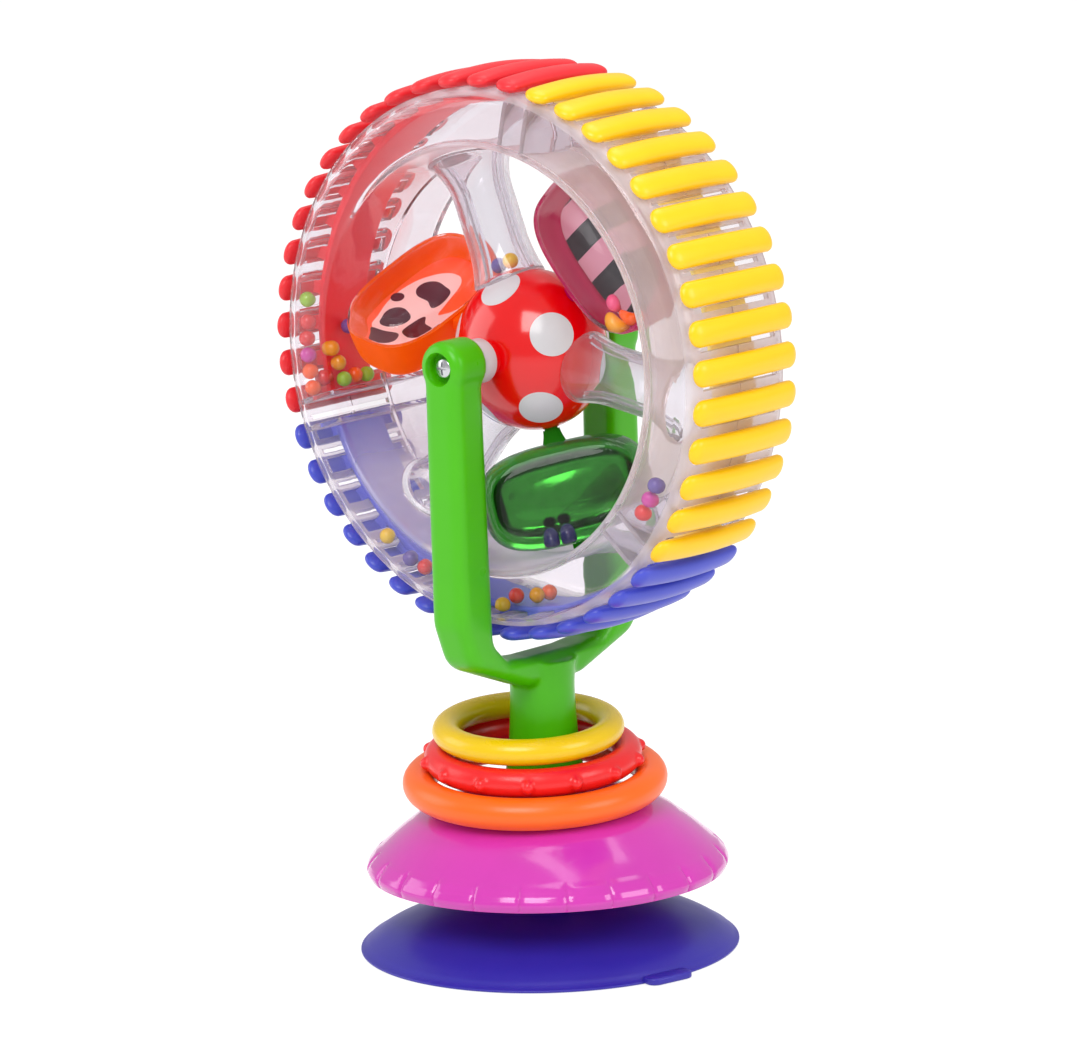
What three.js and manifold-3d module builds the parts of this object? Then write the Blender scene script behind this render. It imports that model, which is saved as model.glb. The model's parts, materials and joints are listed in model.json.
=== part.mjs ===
// A spinning wheel toy on a suction cup: a clear hollow wheel with coloured ribs and loose beads turns
// between the arms of a fork, over three loose rings, a dome and a suction cup.
// Millimetres, +Z up. The origin is on the stem's axis, on the table. The axle runs along Y, and the front
// arm is on the -Y side.

import * as THREE from "three";
import { mergeVertices } from "three/addons/utils/BufferGeometryUtils.js";
import Module from "manifold-3d";

const wasm = await Module();
wasm.setup();

// Gaps, and how far a cutting tool passes the face that it cuts
const clearance = 0.3;
const overrun = 1;
const weldDistance = 1e-4;

// Suction cup and its pull tab
const cupRadius = 56.7;
const cupHeight = 15.4;
const cupHollowHeight = 8;
const cupRimWidth = 3.4;
const cupRimThickness = 0.9;
const cupStudRadius = 7;
const tabLength = 4.1;
const tabWidth = 15.6;
const tabThickness = 2.2;
const tabCorner = 3;
const tabAngle = -12;

// Dome over the cup
const domeRadius = 54.1;
const domeRimHeight = 23.2;
const domeRimBand = 4.3;
const domeRimTuck = 0.8;
const domeRise = 24.4;
const domeTopRadius = 18;
const domeWall = 2.4;
const domeSocketWall = 3;
const domeStudSocketDepth = 8;
const domeWebThickness = 2.5;

// Rings, lowest first: centre-line radius or how much smaller it is than the ring below, tube radii across
// and up, and sideways shift over what is below
const orangeRingRadius = 34.6;
const redRingStep = 6.3;
const yellowRingStep = 3.8;
const orangeTube = { across: 5, up: 4.9 };
const redTube = { across: 4.4, up: 4.4 };
const yellowTube = { across: 4.2, up: 4 };
const ringShiftShares = { orange: 0.0867, red: 0.0106, yellow: 0.049 };
const ringNubCount = 14;
const ringNubRadius = 1.9;
const ringShiftAngle = 221.5;
const ringTiltAngle = 4.2;
const ringTiltAxisAngle = 39;

// Fork: stem, cradle and arms
const armInnerFace = 28;
const armRootInnerFace = 26.5;
const armThickness = 13.2;
const armWidth = 13.5;
const armEdge = 3;
const bossRadius = 8;
const stemRadius = 9.7;
const stemFootRadius = 12.5;
const stemLength = 29.4;
const stemFlareShare = 0.26;
const stemSpigotRadius = 8.5;
const stemSpigotLength = 11.4;
const cradleRise = 13;
const cradleGap = 5.4;
const cradleInnerRise = 3.5;
const cradleInnerCorner = 5;
const cradleOuterRise = 1;
const cradleOuterCorner = 7;
const cradleFoot = 12;
const cradleFootDrop = 9.6;
const cradleTurnAngle = 68;

// Axle rod and its screws
const rodRadius = 3;
const rodSeatDepth = 3;
const screwShankRadius = 1.7;
const screwHeadRadius = 3.1;
const screwHeadHeight = 2;
const screwLength = 12;
const screwRecessRadius = 1.3;
const screwRecessDepth = 1.2;
const counterboreRadius = 4.7;
const counterboreDepth = 4;

// Red ball hub
const ballRadius = 24;
const ballHalfWidth = 20.5;
const hubBossRadius = 5.5;

// Wheel: hollow rim with its slots, partitions and spokes
const wheelTurnAngle = 12;
const ribCount = 45;
const sectorCount = 3;
const rimRadius = 79.6;
const rimBoreShare = 0.76;
const rimDraft = 1.8;
const rimHalfWidth = 23;
const rimShoulder = 5.5;
const rimWall = 1.8;
const slotWidth = 5;
const slotHalfLength = 16.5;
const partitionThickness = 10;
const partitionWall = 1.6;
const spokeRadius = 9;
const spokeWall = 1.6;
const spokeFootRadius = 12;
const spokeFlareRadius = 13.5;
const spokeLeadAngle = 33;

// Coloured treads
const ribHalfLength = 19.3;
const ribHalfWidth = 3.5;
const ribStand = 3.1;
const ribCrown = 2.4;
const bandThickness = 2.2;
const bandHalfWidth = 9;
const rootSinkShare = 0.33;

// Pods that turn between the ball and the rim
const podBallGap = 4.2;
const podRimGap = 1.9;
const podWidthShare = 0.583;
const podCornerShare = 0.645;
const trayDepth = 11.6;
const lensDepth = 10;
const podParting = 2.6;
const podWall = 1.6;
const podLeadAngle = 31.8;
const pivotRadius = 2;
const pivotDepth = 3;
const neckTipWidth = 5;
const neckFootWidth = 8.4;
const neckThickness = 4.4;
const insertThickness = 0.8;
const insertInsetShare = 0.28;
const insertRaiseShare = 0.09;
const podSpins = { magenta: -5, green: -42, orange: 64 };

// Beads
const beadRadius = 2.35;

// Sizes that follow: each ring from the one below, the wheel from the cradle, the pods from ball and rim
const domeTopHeight = domeRimHeight + domeRise;
const redRingRadius = orangeRingRadius - redRingStep;
const yellowRingRadius = redRingRadius - yellowRingStep;
const ringOf = (tube, radius, shiftShare) => ({ ...tube, radius, shift: shiftShare * radius });
const orangeRing = ringOf(orangeTube, orangeRingRadius, ringShiftShares.orange);
const redRing = ringOf(redTube, redRingRadius, ringShiftShares.red);
const yellowRing = ringOf(yellowTube, yellowRingRadius, ringShiftShares.yellow);
const stemTopHeight = domeTopHeight + stemLength;
const cradleInnerHeight = stemTopHeight + cradleRise;
const cradleOuterHeight = cradleInnerHeight + cradleOuterRise;
const ribEndRadius = rimRadius + ribStand;
const axleHeight = cradleInnerHeight + cradleGap + ribEndRadius + ribCrown;
const rimBoreRadius = rimBoreShare * rimRadius;
const podInnerEnd = ballRadius + podBallGap;
const podOuterEnd = rimBoreRadius - podRimGap;
const podRadius = (podInnerEnd + podOuterEnd) / 2;
const podHalfLength = (podOuterEnd - podInnerEnd) / 2;
const podHalfWidth = podWidthShare * podRadius;

// Facets round a full turn, and along curves
const baseFacets = 28;
const stemFacets = 16;
const ringFacets = 22;
const ringTubeFacets = 8;
const ringNubFacets = [4, 3];
const ringSeatSteps = 48;
const ballFacets = 18;
const ballBands = 4;
const spokeFacets = 8;
const smallFacets = 8;
const podFacets = 16;
const curveSteps = 3;
const spokeSteps = 2;
const edgeSteps = 2;

const radians = THREE.MathUtils.degToRad;

// Materials
const plastic = (colour, roughness = 0.35) => new THREE.MeshStandardMaterial({ color: colour, roughness });
const clearPlastic = (colour) => new THREE.MeshStandardMaterial({
  color: colour, roughness: 0.12, transparent: true, opacity: 0.4,
});
const steel = () => new THREE.MeshStandardMaterial({ color: 0xc8c8cc, roughness: 0.3, metalness: 1 });
const colours = {
  red: 0xd21414, yellow: 0xfdcc00, blue: 0x4650c8, green: 0x3fb400, orange: 0xff6a10,
  magenta: 0xcc3fb0, violet: 0x3628a0, lime: 0x9ccc20, amber: 0xf0a800, purple: 0x6a50b0,
  navy: 0x28285a, pink: 0xf05a96, clear: 0xe8eaec,
};

// A closed geometry as a solid that can be joined and cut
function solid(geometry) {
  const bare = geometry.clone();
  bare.deleteAttribute("normal");
  bare.deleteAttribute("uv");
  const merged = mergeVertices(bare, weldDistance);
  return new wasm.Manifold(new wasm.Mesh({
    numProp: 3,
    vertProperties: merged.attributes.position.array,
    triVerts: new Uint32Array(merged.index.array),
  }));
}

// A solid as a geometry for a mesh
function geometryOf(shape) {
  const mesh = shape.getMesh();
  const geometry = new THREE.BufferGeometry();
  geometry.setAttribute("position", new THREE.BufferAttribute(mesh.vertProperties, 3));
  geometry.setIndex(new THREE.BufferAttribute(mesh.triVerts, 1));
  geometry.computeVertexNormals();
  return geometry;
}

const joined = (shapes) => shapes.reduce((all, shape) => all.add(shape));

// A closed outline of radius and height turned round the Y axis
function turned(outline, facets) {
  const points = outline.map(([radius, height]) => new THREE.Vector2(radius, height));
  if (THREE.ShapeUtils.isClockWise(points)) points.reverse();
  points.push(points[0].clone());
  return new THREE.LatheGeometry(points, facets);
}

// The same, turned round the Z axis
const turnedUpright = (outline, facets) => turned(outline, facets).rotateX(Math.PI / 2);

// A flat outline made into a plate from z = 0 to z = depth
function plate(points, depth) {
  const shape = new THREE.Shape(points.map(([x, y]) => new THREE.Vector2(x, y)));
  return new THREE.ExtrudeGeometry(shape, { depth, bevelEnabled: false });
}

// A solid skinned over a row of rings of points, with flat ends
function skinned(rings) {
  const count = rings[0].length;
  const positions = rings.flat().flatMap((point) => point.toArray());
  const faces = [];
  for (let row = 0; row + 1 < rings.length; row++) {
    for (let i = 0; i < count; i++) {
      const [a, b] = [row * count + i, row * count + (i + 1) % count];
      faces.push(a, b, b + count, a, b + count, a + count);
    }
  }
  const last = (rings.length - 1) * count;
  for (let i = 1; i + 1 < count; i++) {
    faces.push(0, i + 1, i, last, last + i, last + i + 1);
  }
  const geometry = new THREE.BufferGeometry();
  geometry.setAttribute("position", new THREE.Float32BufferAttribute(positions, 3));
  geometry.setIndex(faces);
  return geometry;
}

// Points of an arc about a centre, from one angle to another in degrees, ends included
function arc(centreX, centreY, radius, from, to, steps) {
  return Array.from({ length: steps + 1 }, (_, i) => {
    const angle = radians(from + (to - from) * i / steps);
    return [centreX + radius * Math.cos(angle), centreY + radius * Math.sin(angle)];
  });
}

const toy = new THREE.Group();
const wheel = new THREE.Group();
wheel.position.z = axleHeight;
wheel.rotation.y = radians(wheelTurnAngle);
toy.add(wheel);

function add(parent, name, geometry, material) {
  const mesh = new THREE.Mesh(geometry, material);
  mesh.name = name;
  parent.add(mesh);
  return mesh;
}

// Heights inside the dome, from its top down: its web, the cup's stud and the socket round the stud
const webTop = domeTopHeight - stemSpigotLength;
const webBottom = webTop - domeWebThickness;
const stemScrewSeat = webBottom - clearance;
const studTop = stemScrewSeat - screwHeadHeight - 2 * clearance;
const studSocketEnd = webBottom - domeStudSocketDepth;

// The cup: a thin flexible cone with a hollow underside, and a stud up into the dome
function cupGeometry() {
  const topShares = [[0.966, 0.15], [0.84, 0.42], [0.61, 0.76], [0.36, 0.95]];
  const hollowShares = [[0.72, 0.52], [0.36, 0.92]];
  const outline = [
    [0, cupHollowHeight],
    ...hollowShares.map(([r, z]) => [r * cupRadius, z * cupHollowHeight]).reverse(),
    [cupRadius - cupRimWidth, 0],
    [cupRadius, 0],
    [cupRadius, cupRimThickness],
    ...topShares.map(([r, z]) => [r * cupRadius, z * cupHeight]),
    [cupStudRadius, cupHeight + cupStudRadius / 2],
    [cupStudRadius, studTop],
    [0, studTop],
  ];
  const cone = solid(turnedUpright(outline, baseFacets));
  return geometryOf(cone.add(solid(tabGeometry())));
}

// The pull tab: a rounded tongue that lies on the table
function tabGeometry() {
  const root = cupRadius - cupRimWidth / 2;
  const side = tabWidth / 2;
  const reach = cupRadius + tabLength;
  const tongue = plate([
    [root, -side],
    ...arc(reach - tabCorner, -side + tabCorner, tabCorner, -90, 0, edgeSteps),
    ...arc(reach - tabCorner, side - tabCorner, tabCorner, 0, 90, edgeSteps),
    [root, side],
  ], tabThickness);
  return tongue.rotateZ(radians(tabAngle));
}

// The dome's skin over its rim band, as shares of its radius and of its height over the band
const domeSkinShares = [[0.93, 0.16], [0.81, 0.44], [0.67, 0.7], [0.5, 0.9]];
const domeBandTop = domeRimHeight + domeRimBand;
const domeSkin = domeSkinShares.map(([r, z]) => (
  [r * domeRadius, domeBandTop + z * (domeTopHeight - domeBandTop)]
));
const domeOutside = [
  [domeRadius - domeRimTuck, domeRimHeight],
  [domeRadius, domeRimHeight + domeRimBand / 2],
  [domeRadius - domeRimTuck, domeBandTop],
  ...domeSkin,
  [domeTopRadius, domeTopHeight],
];

function domeGeometry() {
  const boreRadius = stemSpigotRadius + clearance;
  const socketOuter = boreRadius + domeSocketWall;
  const holeRadius = screwShankRadius + clearance;
  const inside = domeSkin.filter((_, i) => i % 2 === 1).map(([r, z]) => [r - domeWall / 2, z - domeWall]);
  const outline = [
    ...domeOutside,
    [boreRadius, domeTopHeight],
    [boreRadius, webTop],
    [holeRadius, webTop],
    [holeRadius, webBottom],
    [cupStudRadius + clearance, webBottom],
    [cupStudRadius + clearance, studSocketEnd],
    [socketOuter, studSocketEnd],
    [socketOuter, domeTopHeight - domeWall],
    [domeTopRadius, domeTopHeight - domeWall],
    ...inside.reverse(),
    [domeRadius - domeWall, domeBandTop - domeWall],
    [domeRadius - domeWall, domeRimHeight],
  ];
  return turnedUpright(outline, baseFacets);
}

// A screw along -Z with its head at the top, its flat seat at z = 0 and a recess in the head
function screwGeometry() {
  return turnedUpright([
    [0, -screwLength],
    [screwShankRadius, -screwLength],
    [screwShankRadius, 0],
    [screwHeadRadius, 0],
    [screwHeadRadius, screwHeadHeight],
    [screwRecessRadius, screwHeadHeight],
    [screwRecessRadius, screwHeadHeight - screwRecessDepth],
    [0, screwHeadHeight - screwRecessDepth],
  ], smallFacets);
}

// A loose ring: an oval tube, with nubs round the outside of the red one
function ringGeometry(ring, nubs = 0) {
  const section = Array.from({ length: ringTubeFacets }, (_, i) => {
    const angle = (i + 0.5) * 2 * Math.PI / ringTubeFacets;
    return [ring.radius + ring.across * Math.cos(angle), ring.up * Math.sin(angle)];
  });
  const tube = turnedUpright(section, ringFacets);
  if (!nubs) return tube;
  const knobs = Array.from({ length: nubs }, (_, i) => {
    const knob = new THREE.SphereGeometry(ringNubRadius, ...ringNubFacets);
    knob.translate(ring.radius + ring.across, 0, 0);
    return solid(knob.rotateZ(2 * Math.PI * i / nubs));
  });
  return geometryOf(solid(tube).add(joined(knobs)));
}

// The height of the dome's outside at a radius
function domeHeight(radius) {
  const next = domeOutside.findIndex(([r], i) => i > 1 && r <= radius);
  if (next < 0) return domeTopHeight;
  const [[r0, z0], [r1, z1]] = [domeOutside[next - 1], domeOutside[next]];
  return r0 < radius ? domeRimHeight : z0 + (z1 - z0) * (r0 - radius) / (r0 - r1);
}

// The rings lie tilted and off the stem's axis, the lowest one on the dome and each on the one below
const levelDirection = (angle) => (
  new THREE.Vector3(1, 0, 0).applyAxisAngle(new THREE.Vector3(0, 0, 1), radians(angle))
);
const ringShift = levelDirection(ringShiftAngle);
const ringTiltAxis = levelDirection(ringTiltAxisAngle);
const ringTurn = new THREE.Quaternion().setFromAxisAngle(ringTiltAxis, radians(ringTiltAngle));

function ringSeat(ring) {
  const steps = Array.from({ length: ringSeatSteps }, (_, i) => i * 2 * Math.PI / ringSeatSteps);
  const heights = steps.flatMap((around) => steps.map((across) => {
    const reach = ring.radius + (ring.across + clearance) * Math.cos(across);
    const point = new THREE.Vector3(
      reach * Math.cos(around), reach * Math.sin(around), (ring.up + clearance) * Math.sin(across),
    );
    point.applyQuaternion(ringTurn).addScaledVector(ringShift, ring.shift);
    return domeHeight(Math.hypot(point.x, point.y)) - point.z;
  }));
  return Math.max(...heights);
}

function ringRise(below, above) {
  const aside = Math.abs(below.radius - above.radius) - above.shift;
  const share = aside / (below.across + above.across + clearance);
  return (below.up + above.up + clearance) * Math.sqrt(1 - Math.min(1, share ** 2));
}

const ringStack = new THREE.Group();
ringStack.quaternion.copy(ringTurn);
ringStack.position.copy(ringShift).multiplyScalar(orangeRing.shift).setZ(ringSeat(orangeRing));
toy.add(ringStack);
const redRise = ringRise(orangeRing, redRing);
const yellowRise = redRise + ringRise(redRing, yellowRing);

// The fork's outline across the wheel: half of it, from the stem's foot out and up the arm
function forkOutline() {
  const outer = armInnerFace + armThickness;
  const outerTurn = [outer - cradleOuterCorner, cradleOuterHeight + cradleOuterCorner];
  const innerTurn = [
    armRootInnerFace - cradleInnerCorner,
    cradleInnerHeight + cradleInnerRise + cradleInnerCorner,
  ];
  const half = [
    [cradleFoot, cradleOuterHeight - cradleFootDrop],
    ...arc(...outerTurn, cradleOuterCorner, -cradleTurnAngle, 0, curveSteps),
    [outer, axleHeight],
    [armInnerFace, axleHeight],
    ...arc(...innerTurn, cradleInnerCorner, 0, -cradleTurnAngle, curveSteps),
    [stemRadius, cradleInnerHeight],
  ];
  const mirrored = half.map(([y, z]) => [-y, z]).reverse();
  return [...half, ...mirrored];
}

// Rounded edges all round the fork's outline
function forkBody() {
  const shape = new THREE.Shape(forkOutline().map(([y, z]) => new THREE.Vector2(y, z)));
  const body = new THREE.ExtrudeGeometry(shape, {
    depth: armWidth - 2 * armEdge,
    bevelThickness: armEdge,
    bevelSize: armEdge,
    bevelOffset: -armEdge,
    bevelSegments: edgeSteps,
  });
  body.translate(0, 0, armEdge - armWidth / 2);
  return body.rotateX(Math.PI / 2).rotateZ(Math.PI / 2);
}

// The round boss at the top of an arm, its outer edge rounded like the arm's
function bossGeometry() {
  return turned([
    [0, armInnerFace],
    [bossRadius, armInnerFace],
    ...arc(bossRadius - armEdge, armInnerFace + armThickness - armEdge, armEdge, 0, 90, edgeSteps),
    [0, armInnerFace + armThickness],
  ], stemFacets);
}

// What is bored out of an arm: the rod's seat, the shank's hole and the counterbore
function armBore() {
  const outer = armInnerFace + armThickness;
  return turned([
    [0, armInnerFace - overrun],
    [rodRadius + clearance, armInnerFace - overrun],
    [rodRadius + clearance, armInnerFace + rodSeatDepth],
    [screwShankRadius + clearance, armInnerFace + rodSeatDepth],
    [screwShankRadius + clearance, outer - counterboreDepth],
    [counterboreRadius, outer - counterboreDepth],
    [counterboreRadius, outer + overrun],
    [0, outer + overrun],
  ], stemFacets);
}

// The stem: a foot on the dome, a spigot in its socket and a hole for the stem's screw
function stemGeometry() {
  const spigotTop = domeTopHeight + clearance;
  const spigotEnd = webTop + clearance;
  const holeTop = stemScrewSeat + screwLength + clearance;
  const holeRadius = screwShankRadius + clearance;
  const stemEnd = cradleInnerHeight - cradleOuterCorner;
  return turnedUpright([
    [0, holeTop],
    [0, stemEnd],
    [stemRadius, stemEnd],
    [stemRadius, stemTopHeight],
    [stemRadius + stemFlareShare * (stemFootRadius - stemRadius), (stemTopHeight + spigotTop) / 2],
    [stemFootRadius, spigotTop],
    [stemSpigotRadius, spigotTop],
    [stemSpigotRadius, spigotEnd],
    [holeRadius, spigotEnd],
    [holeRadius, holeTop],
  ], stemFacets);
}

function forkGeometry() {
  const front = solid(bossGeometry().rotateZ(Math.PI).translate(0, 0, axleHeight));
  const rear = solid(bossGeometry().translate(0, 0, axleHeight));
  const boreFront = solid(armBore().rotateZ(Math.PI).translate(0, 0, axleHeight));
  const boreRear = solid(armBore().translate(0, 0, axleHeight));
  const body = joined([solid(forkBody()), solid(stemGeometry()), front, rear]);
  return geometryOf(body.subtract(boreFront).subtract(boreRear));
}

// The wheel's flat facets lie a little inside the radius of their corners
const flatShare = Math.cos(Math.PI / ribCount);
const ribPitch = 360 / ribCount;
const sectorAngle = 360 / sectorCount;
const ribsPerSector = ribCount / sectorCount;
const bandOuterRadius = rimRadius - rimWall - clearance;
const bandInnerRadius = bandOuterRadius - bandThickness;
const seam = clearance / 2;

// Places a piece made at the top of the wheel, with +Z outwards, at an angle round the axle
const around = (geometry, angle) => geometry.rotateY(radians(angle));

// A box from its smallest to its largest corner
function block([x0, y0, z0], [x1, y1, z1]) {
  const box = new THREE.BoxGeometry(x1 - x0, y1 - y0, z1 - z0);
  return box.translate((x0 + x1) / 2, (y0 + y1) / 2, (z0 + z1) / 2);
}

// The outside of the rear half of the rim, as a full ring with a flat side at the seam
function rimEnvelope() {
  return turned([
    [rimBoreRadius, seam],
    [rimBoreRadius + rimDraft, rimHalfWidth],
    ...arc(rimRadius - rimShoulder, rimHalfWidth - rimShoulder, rimShoulder, 90, 0, edgeSteps),
    [rimRadius, seam],
  ].reverse(), ribCount);
}

// The hollow that the beads run in
function rimHollow() {
  return turned([
    [rimBoreRadius + rimWall, seam - overrun],
    [rimBoreRadius + rimDraft + rimWall, rimHalfWidth - rimWall],
    [rimRadius - rimShoulder, rimHalfWidth - rimWall],
    [rimRadius - rimWall, rimHalfWidth - rimShoulder],
    [rimRadius - rimWall, seam - overrun],
  ], ribCount);
}

// A solid spoke that flares out to the ball and to the rim, made thinner by an inset
function spokeBody(inset, to) {
  const footEnd = ballRadius + spokeRadius;
  const flareStart = rimBoreRadius - spokeFlareRadius;
  const footStart = Math.sqrt(ballRadius ** 2 - spokeFootRadius ** 2);
  const footCurve = Array.from({ length: spokeSteps }, (_, i) => {
    const share = i / spokeSteps;
    return [
      spokeRadius - inset + (spokeFootRadius - spokeRadius) * (1 - share) ** 2,
      footStart + (footEnd - footStart) * share,
    ];
  });
  const flareCurve = Array.from({ length: spokeSteps }, (_, i) => {
    const share = (i + 1) / spokeSteps;
    return [
      spokeRadius - inset + (spokeFlareRadius - spokeRadius) * share ** 2,
      flareStart + (rimBoreRadius + rimWall - flareStart) * share,
    ];
  });
  return turnedUpright([
    [0, 0],
    [spokeFootRadius - inset, 0],
    ...footCurve,
    [spokeRadius - inset, footEnd],
    [spokeRadius - inset, flareStart],
    ...flareCurve,
    [spokeFlareRadius - inset, to],
    [0, to],
  ], spokeFacets);
}

const angles = (count, lead) => Array.from({ length: count }, (_, i) => lead + i * 360 / count);
const spokeAngles = angles(sectorCount, -spokeLeadAngle);
const podAngles = angles(sectorCount, podLeadAngle);
const partitionAngles = angles(sectorCount, 0);
const ribAngles = angles(ribCount, ribPitch / 2);

// The ball's outline from the seam to where its boss begins, grown by a clearance
function ballCurve(grown) {
  const last = Math.acos(hubBossRadius / ballRadius);
  return Array.from({ length: ballBands + 1 }, (_, i) => {
    const angle = last * i / ballBands;
    return [(ballRadius + grown) * Math.cos(angle), (ballHalfWidth + grown) * Math.sin(angle)];
  });
}

function ballEnvelope() {
  const rear = ballCurve(clearance);
  const front = rear.slice(1).reverse().map(([r, y]) => [r, -y]);
  return turned([[0, front[0][1]], ...front, ...rear, [0, rear.at(-1)[1]]], ballFacets);
}

// A hole along a spoke's or pod's axis, at the top of the wheel
const radialHole = (radius, from, to) => (
  turnedUpright([[0, from], [radius, from], [radius, to], [0, to]], smallFacets)
);

// The room inside the rim's bore, less a clearance
function boreSpace() {
  const middle = rimBoreRadius - clearance;
  const side = middle + rimDraft;
  return turned([
    [0, -rimHalfWidth], [side, -rimHalfWidth], [middle, 0], [side, rimHalfWidth], [0, rimHalfWidth],
  ], ribCount);
}

// A hollow spoke between the ball and the rim's bore
function spokeGeometry(angle) {
  const end = rimBoreRadius + rimWall;
  const tube = solid(around(spokeBody(0, end), angle));
  const bore = solid(around(spokeBody(spokeWall, end + overrun), angle));
  return geometryOf(tube.intersect(solid(boreSpace())).subtract(bore).subtract(solid(ballEnvelope())));
}

// The rear clear half shell of the rim: partitions, slots for the treads, holes for the spokes and pins
function rimShell() {
  const rim = solid(rimEnvelope());
  const half = partitionThickness / 2;
  const walls = partitionAngles.flatMap((angle) => [-half, half - partitionWall].map((x) => (
    solid(around(block([x, 0, rimBoreRadius], [x + partitionWall, rimHalfWidth, rimRadius]), angle))
  )));
  const slotFloor = (rimRadius - rimWall) * flatShare - clearance;
  const slots = ribAngles.map((angle) => solid(around(block(
    [-slotWidth / 2, seam - overrun, slotFloor],
    [slotWidth / 2, slotHalfLength, rimRadius + overrun],
  ), angle)));
  const hole = (radius) => (angle) => (
    solid(around(radialHole(radius, rimBoreRadius - overrun, rimBoreRadius + rimWall + overrun), angle))
  );
  const holes = [
    ...spokeAngles.map(hole(spokeFlareRadius - spokeWall)),
    ...podAngles.map(hole(pivotRadius + clearance)),
  ];
  const hollowRim = rim.subtract(solid(rimHollow())).add(joined(walls).intersect(rim));
  return geometryOf(hollowRim.subtract(joined([...slots, ...holes])));
}

// The rear half of the red ball, with its boss towards the arm and the sockets for the pods' pins
function hubShell() {
  const bore = rodRadius + clearance;
  const bossEnd = armInnerFace - clearance;
  const curve = ballCurve(0);
  const body = turned([
    [bore, seam],
    [ballRadius, seam],
    ...curve.slice(1),
    [hubBossRadius, bossEnd],
    [bore, bossEnd],
  ], ballFacets);
  const socketFloor = ballRadius - pivotDepth - 2 * clearance;
  const sockets = podAngles.map((angle) => (
    solid(around(radialHole(pivotRadius + clearance, socketFloor, ballRadius + overrun), angle))
  ));
  return solid(body).subtract(joined(sockets));
}

// One rib at the top of the wheel: a crowned bar with rounded ends, flat against the rim
function ribGeometry() {
  const seat = rimRadius * flatShare + clearance;
  const tipShare = 0.8;
  const tipSize = Math.sqrt(1 - tipShare ** 2);
  const sectionShares = [[-1, 0], [-0.62, 1], [0.62, 1], [1, 0]];
  const tip = ribHalfLength + tipShare * ribHalfWidth;
  const middle = ribEndRadius - ribHalfWidth;
  const stations = [
    { y: -tip, size: tipSize, crown: 0 },
    { y: -ribHalfLength, size: 1, crown: 0 },
    { y: 0, size: 1, crown: ribCrown },
    { y: ribHalfLength, size: 1, crown: 0 },
    { y: tip, size: tipSize, crown: 0 },
  ];
  return skinned(stations.map(({ y, size, crown }) => {
    const height = middle + crown + size * ribHalfWidth - seat;
    return sectionShares.map(([x, up]) => (
      new THREE.Vector3(x * size * ribHalfWidth, y, seat + up * height)
    ));
  }));
}

// The rib's root: from the band through the slot into the rib
function rootGeometry() {
  const top = rimRadius * flatShare + clearance + rootSinkShare * ribHalfWidth;
  const bottom = (bandOuterRadius - rootSinkShare * bandThickness) * flatShare;
  const half = slotWidth / 2 - clearance;
  const length = bandHalfWidth - clearance;
  return block([-half, -length, bottom], [half, length, top]);
}

// The band inside the rim that carries a sector's ribs, from one partition to the next
function bandGeometry(sector) {
  const corner = (radius, i) => {
    const angle = radians(sector * sectorAngle + i * ribPitch);
    return [radius * Math.sin(angle), radius * Math.cos(angle)];
  };
  const steps = Array.from({ length: ribsPerSector + 1 }, (_, i) => i);
  const outline = [
    ...steps.map((i) => corner(bandOuterRadius, i)),
    ...steps.map((i) => corner(bandInnerRadius, i)).reverse(),
  ];
  return plate(outline, 2 * bandHalfWidth).rotateX(Math.PI / 2).translate(0, bandHalfWidth, 0);
}

// What a tread leaves free for the partition at its end
function partitionSpace(angle) {
  const half = partitionThickness / 2 + clearance;
  const top = rimRadius - rimWall;
  return around(block([-half, -rimHalfWidth, rimBoreRadius], [half, rimHalfWidth, top]), angle);
}

function treadGeometry(sector) {
  const own = ribAngles.slice(sector * ribsPerSector, (sector + 1) * ribsPerSector);
  const ribs = own.map((angle) => solid(around(ribGeometry(), angle)));
  const roots = own.map((angle) => solid(around(rootGeometry(), angle)));
  const tread = joined([solid(bandGeometry(sector)), ...roots, ...ribs]);
  const ends = [sector, sector + 1].map((i) => solid(partitionSpace(i * sectorAngle)));
  return geometryOf(tread.subtract(joined(ends)));
}

// A pod's outline, drawn in by an inset, at a height along Y: long along Z, short along X
function podRing(inset, y) {
  return Array.from({ length: podFacets }, (_, i) => {
    const angle = (i + 0.5) * 2 * Math.PI / podFacets;
    const [x, z] = [Math.cos(angle), Math.sin(angle)];
    return new THREE.Vector3(
      (podHalfLength - inset) * Math.sign(x) * Math.abs(x) ** podCornerShare,
      y,
      (podHalfWidth - inset) * Math.sign(z) * Math.abs(z) ** podCornerShare,
    );
  });
}

// A thin-walled bowl of the pod's outline, open at y = 0 and closed at y = depth
const bowlShares = [[0.4, 1], [0.12, 0.8], [0, 0]];

function bowl(depth) {
  const outside = bowlShares.map(([inset, y]) => podRing(inset * podHalfLength, y * depth));
  const inside = bowlShares.map(([inset, y]) => (
    podRing(inset * podHalfLength + podWall, y * (depth - podWall))
  ));
  return skinned([...outside, ...inside.reverse()]);
}

// The tinted tray with its tapered neck, its pin into the ball and its pin into the rim
function trayGeometry() {
  const shell = solid(bowl(trayDepth + podParting).translate(0, -podParting, 0));
  const tip = ballRadius + clearance - podRadius;
  const foot = podWall - podHalfLength;
  const neck = plate([
    [tip, -neckTipWidth / 2], [foot, -neckFootWidth / 2], [foot, neckFootWidth / 2], [tip, neckTipWidth / 2],
  ], neckThickness).translate(0, 0, -neckThickness / 2).rotateX(Math.PI / 2);
  const pin = (from, to) => {
    const rod = turned([[0, from], [pivotRadius, from], [pivotRadius, to], [0, to]], smallFacets);
    return solid(rod.rotateZ(-Math.PI / 2));
  };
  const inner = pin(tip - pivotDepth, tip + clearance);
  const outer = pin(podHalfLength - podWall / 2, rimBoreRadius + rimWall - podRadius);
  return geometryOf(joined([shell, solid(neck), inner, outer]));
}

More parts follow.
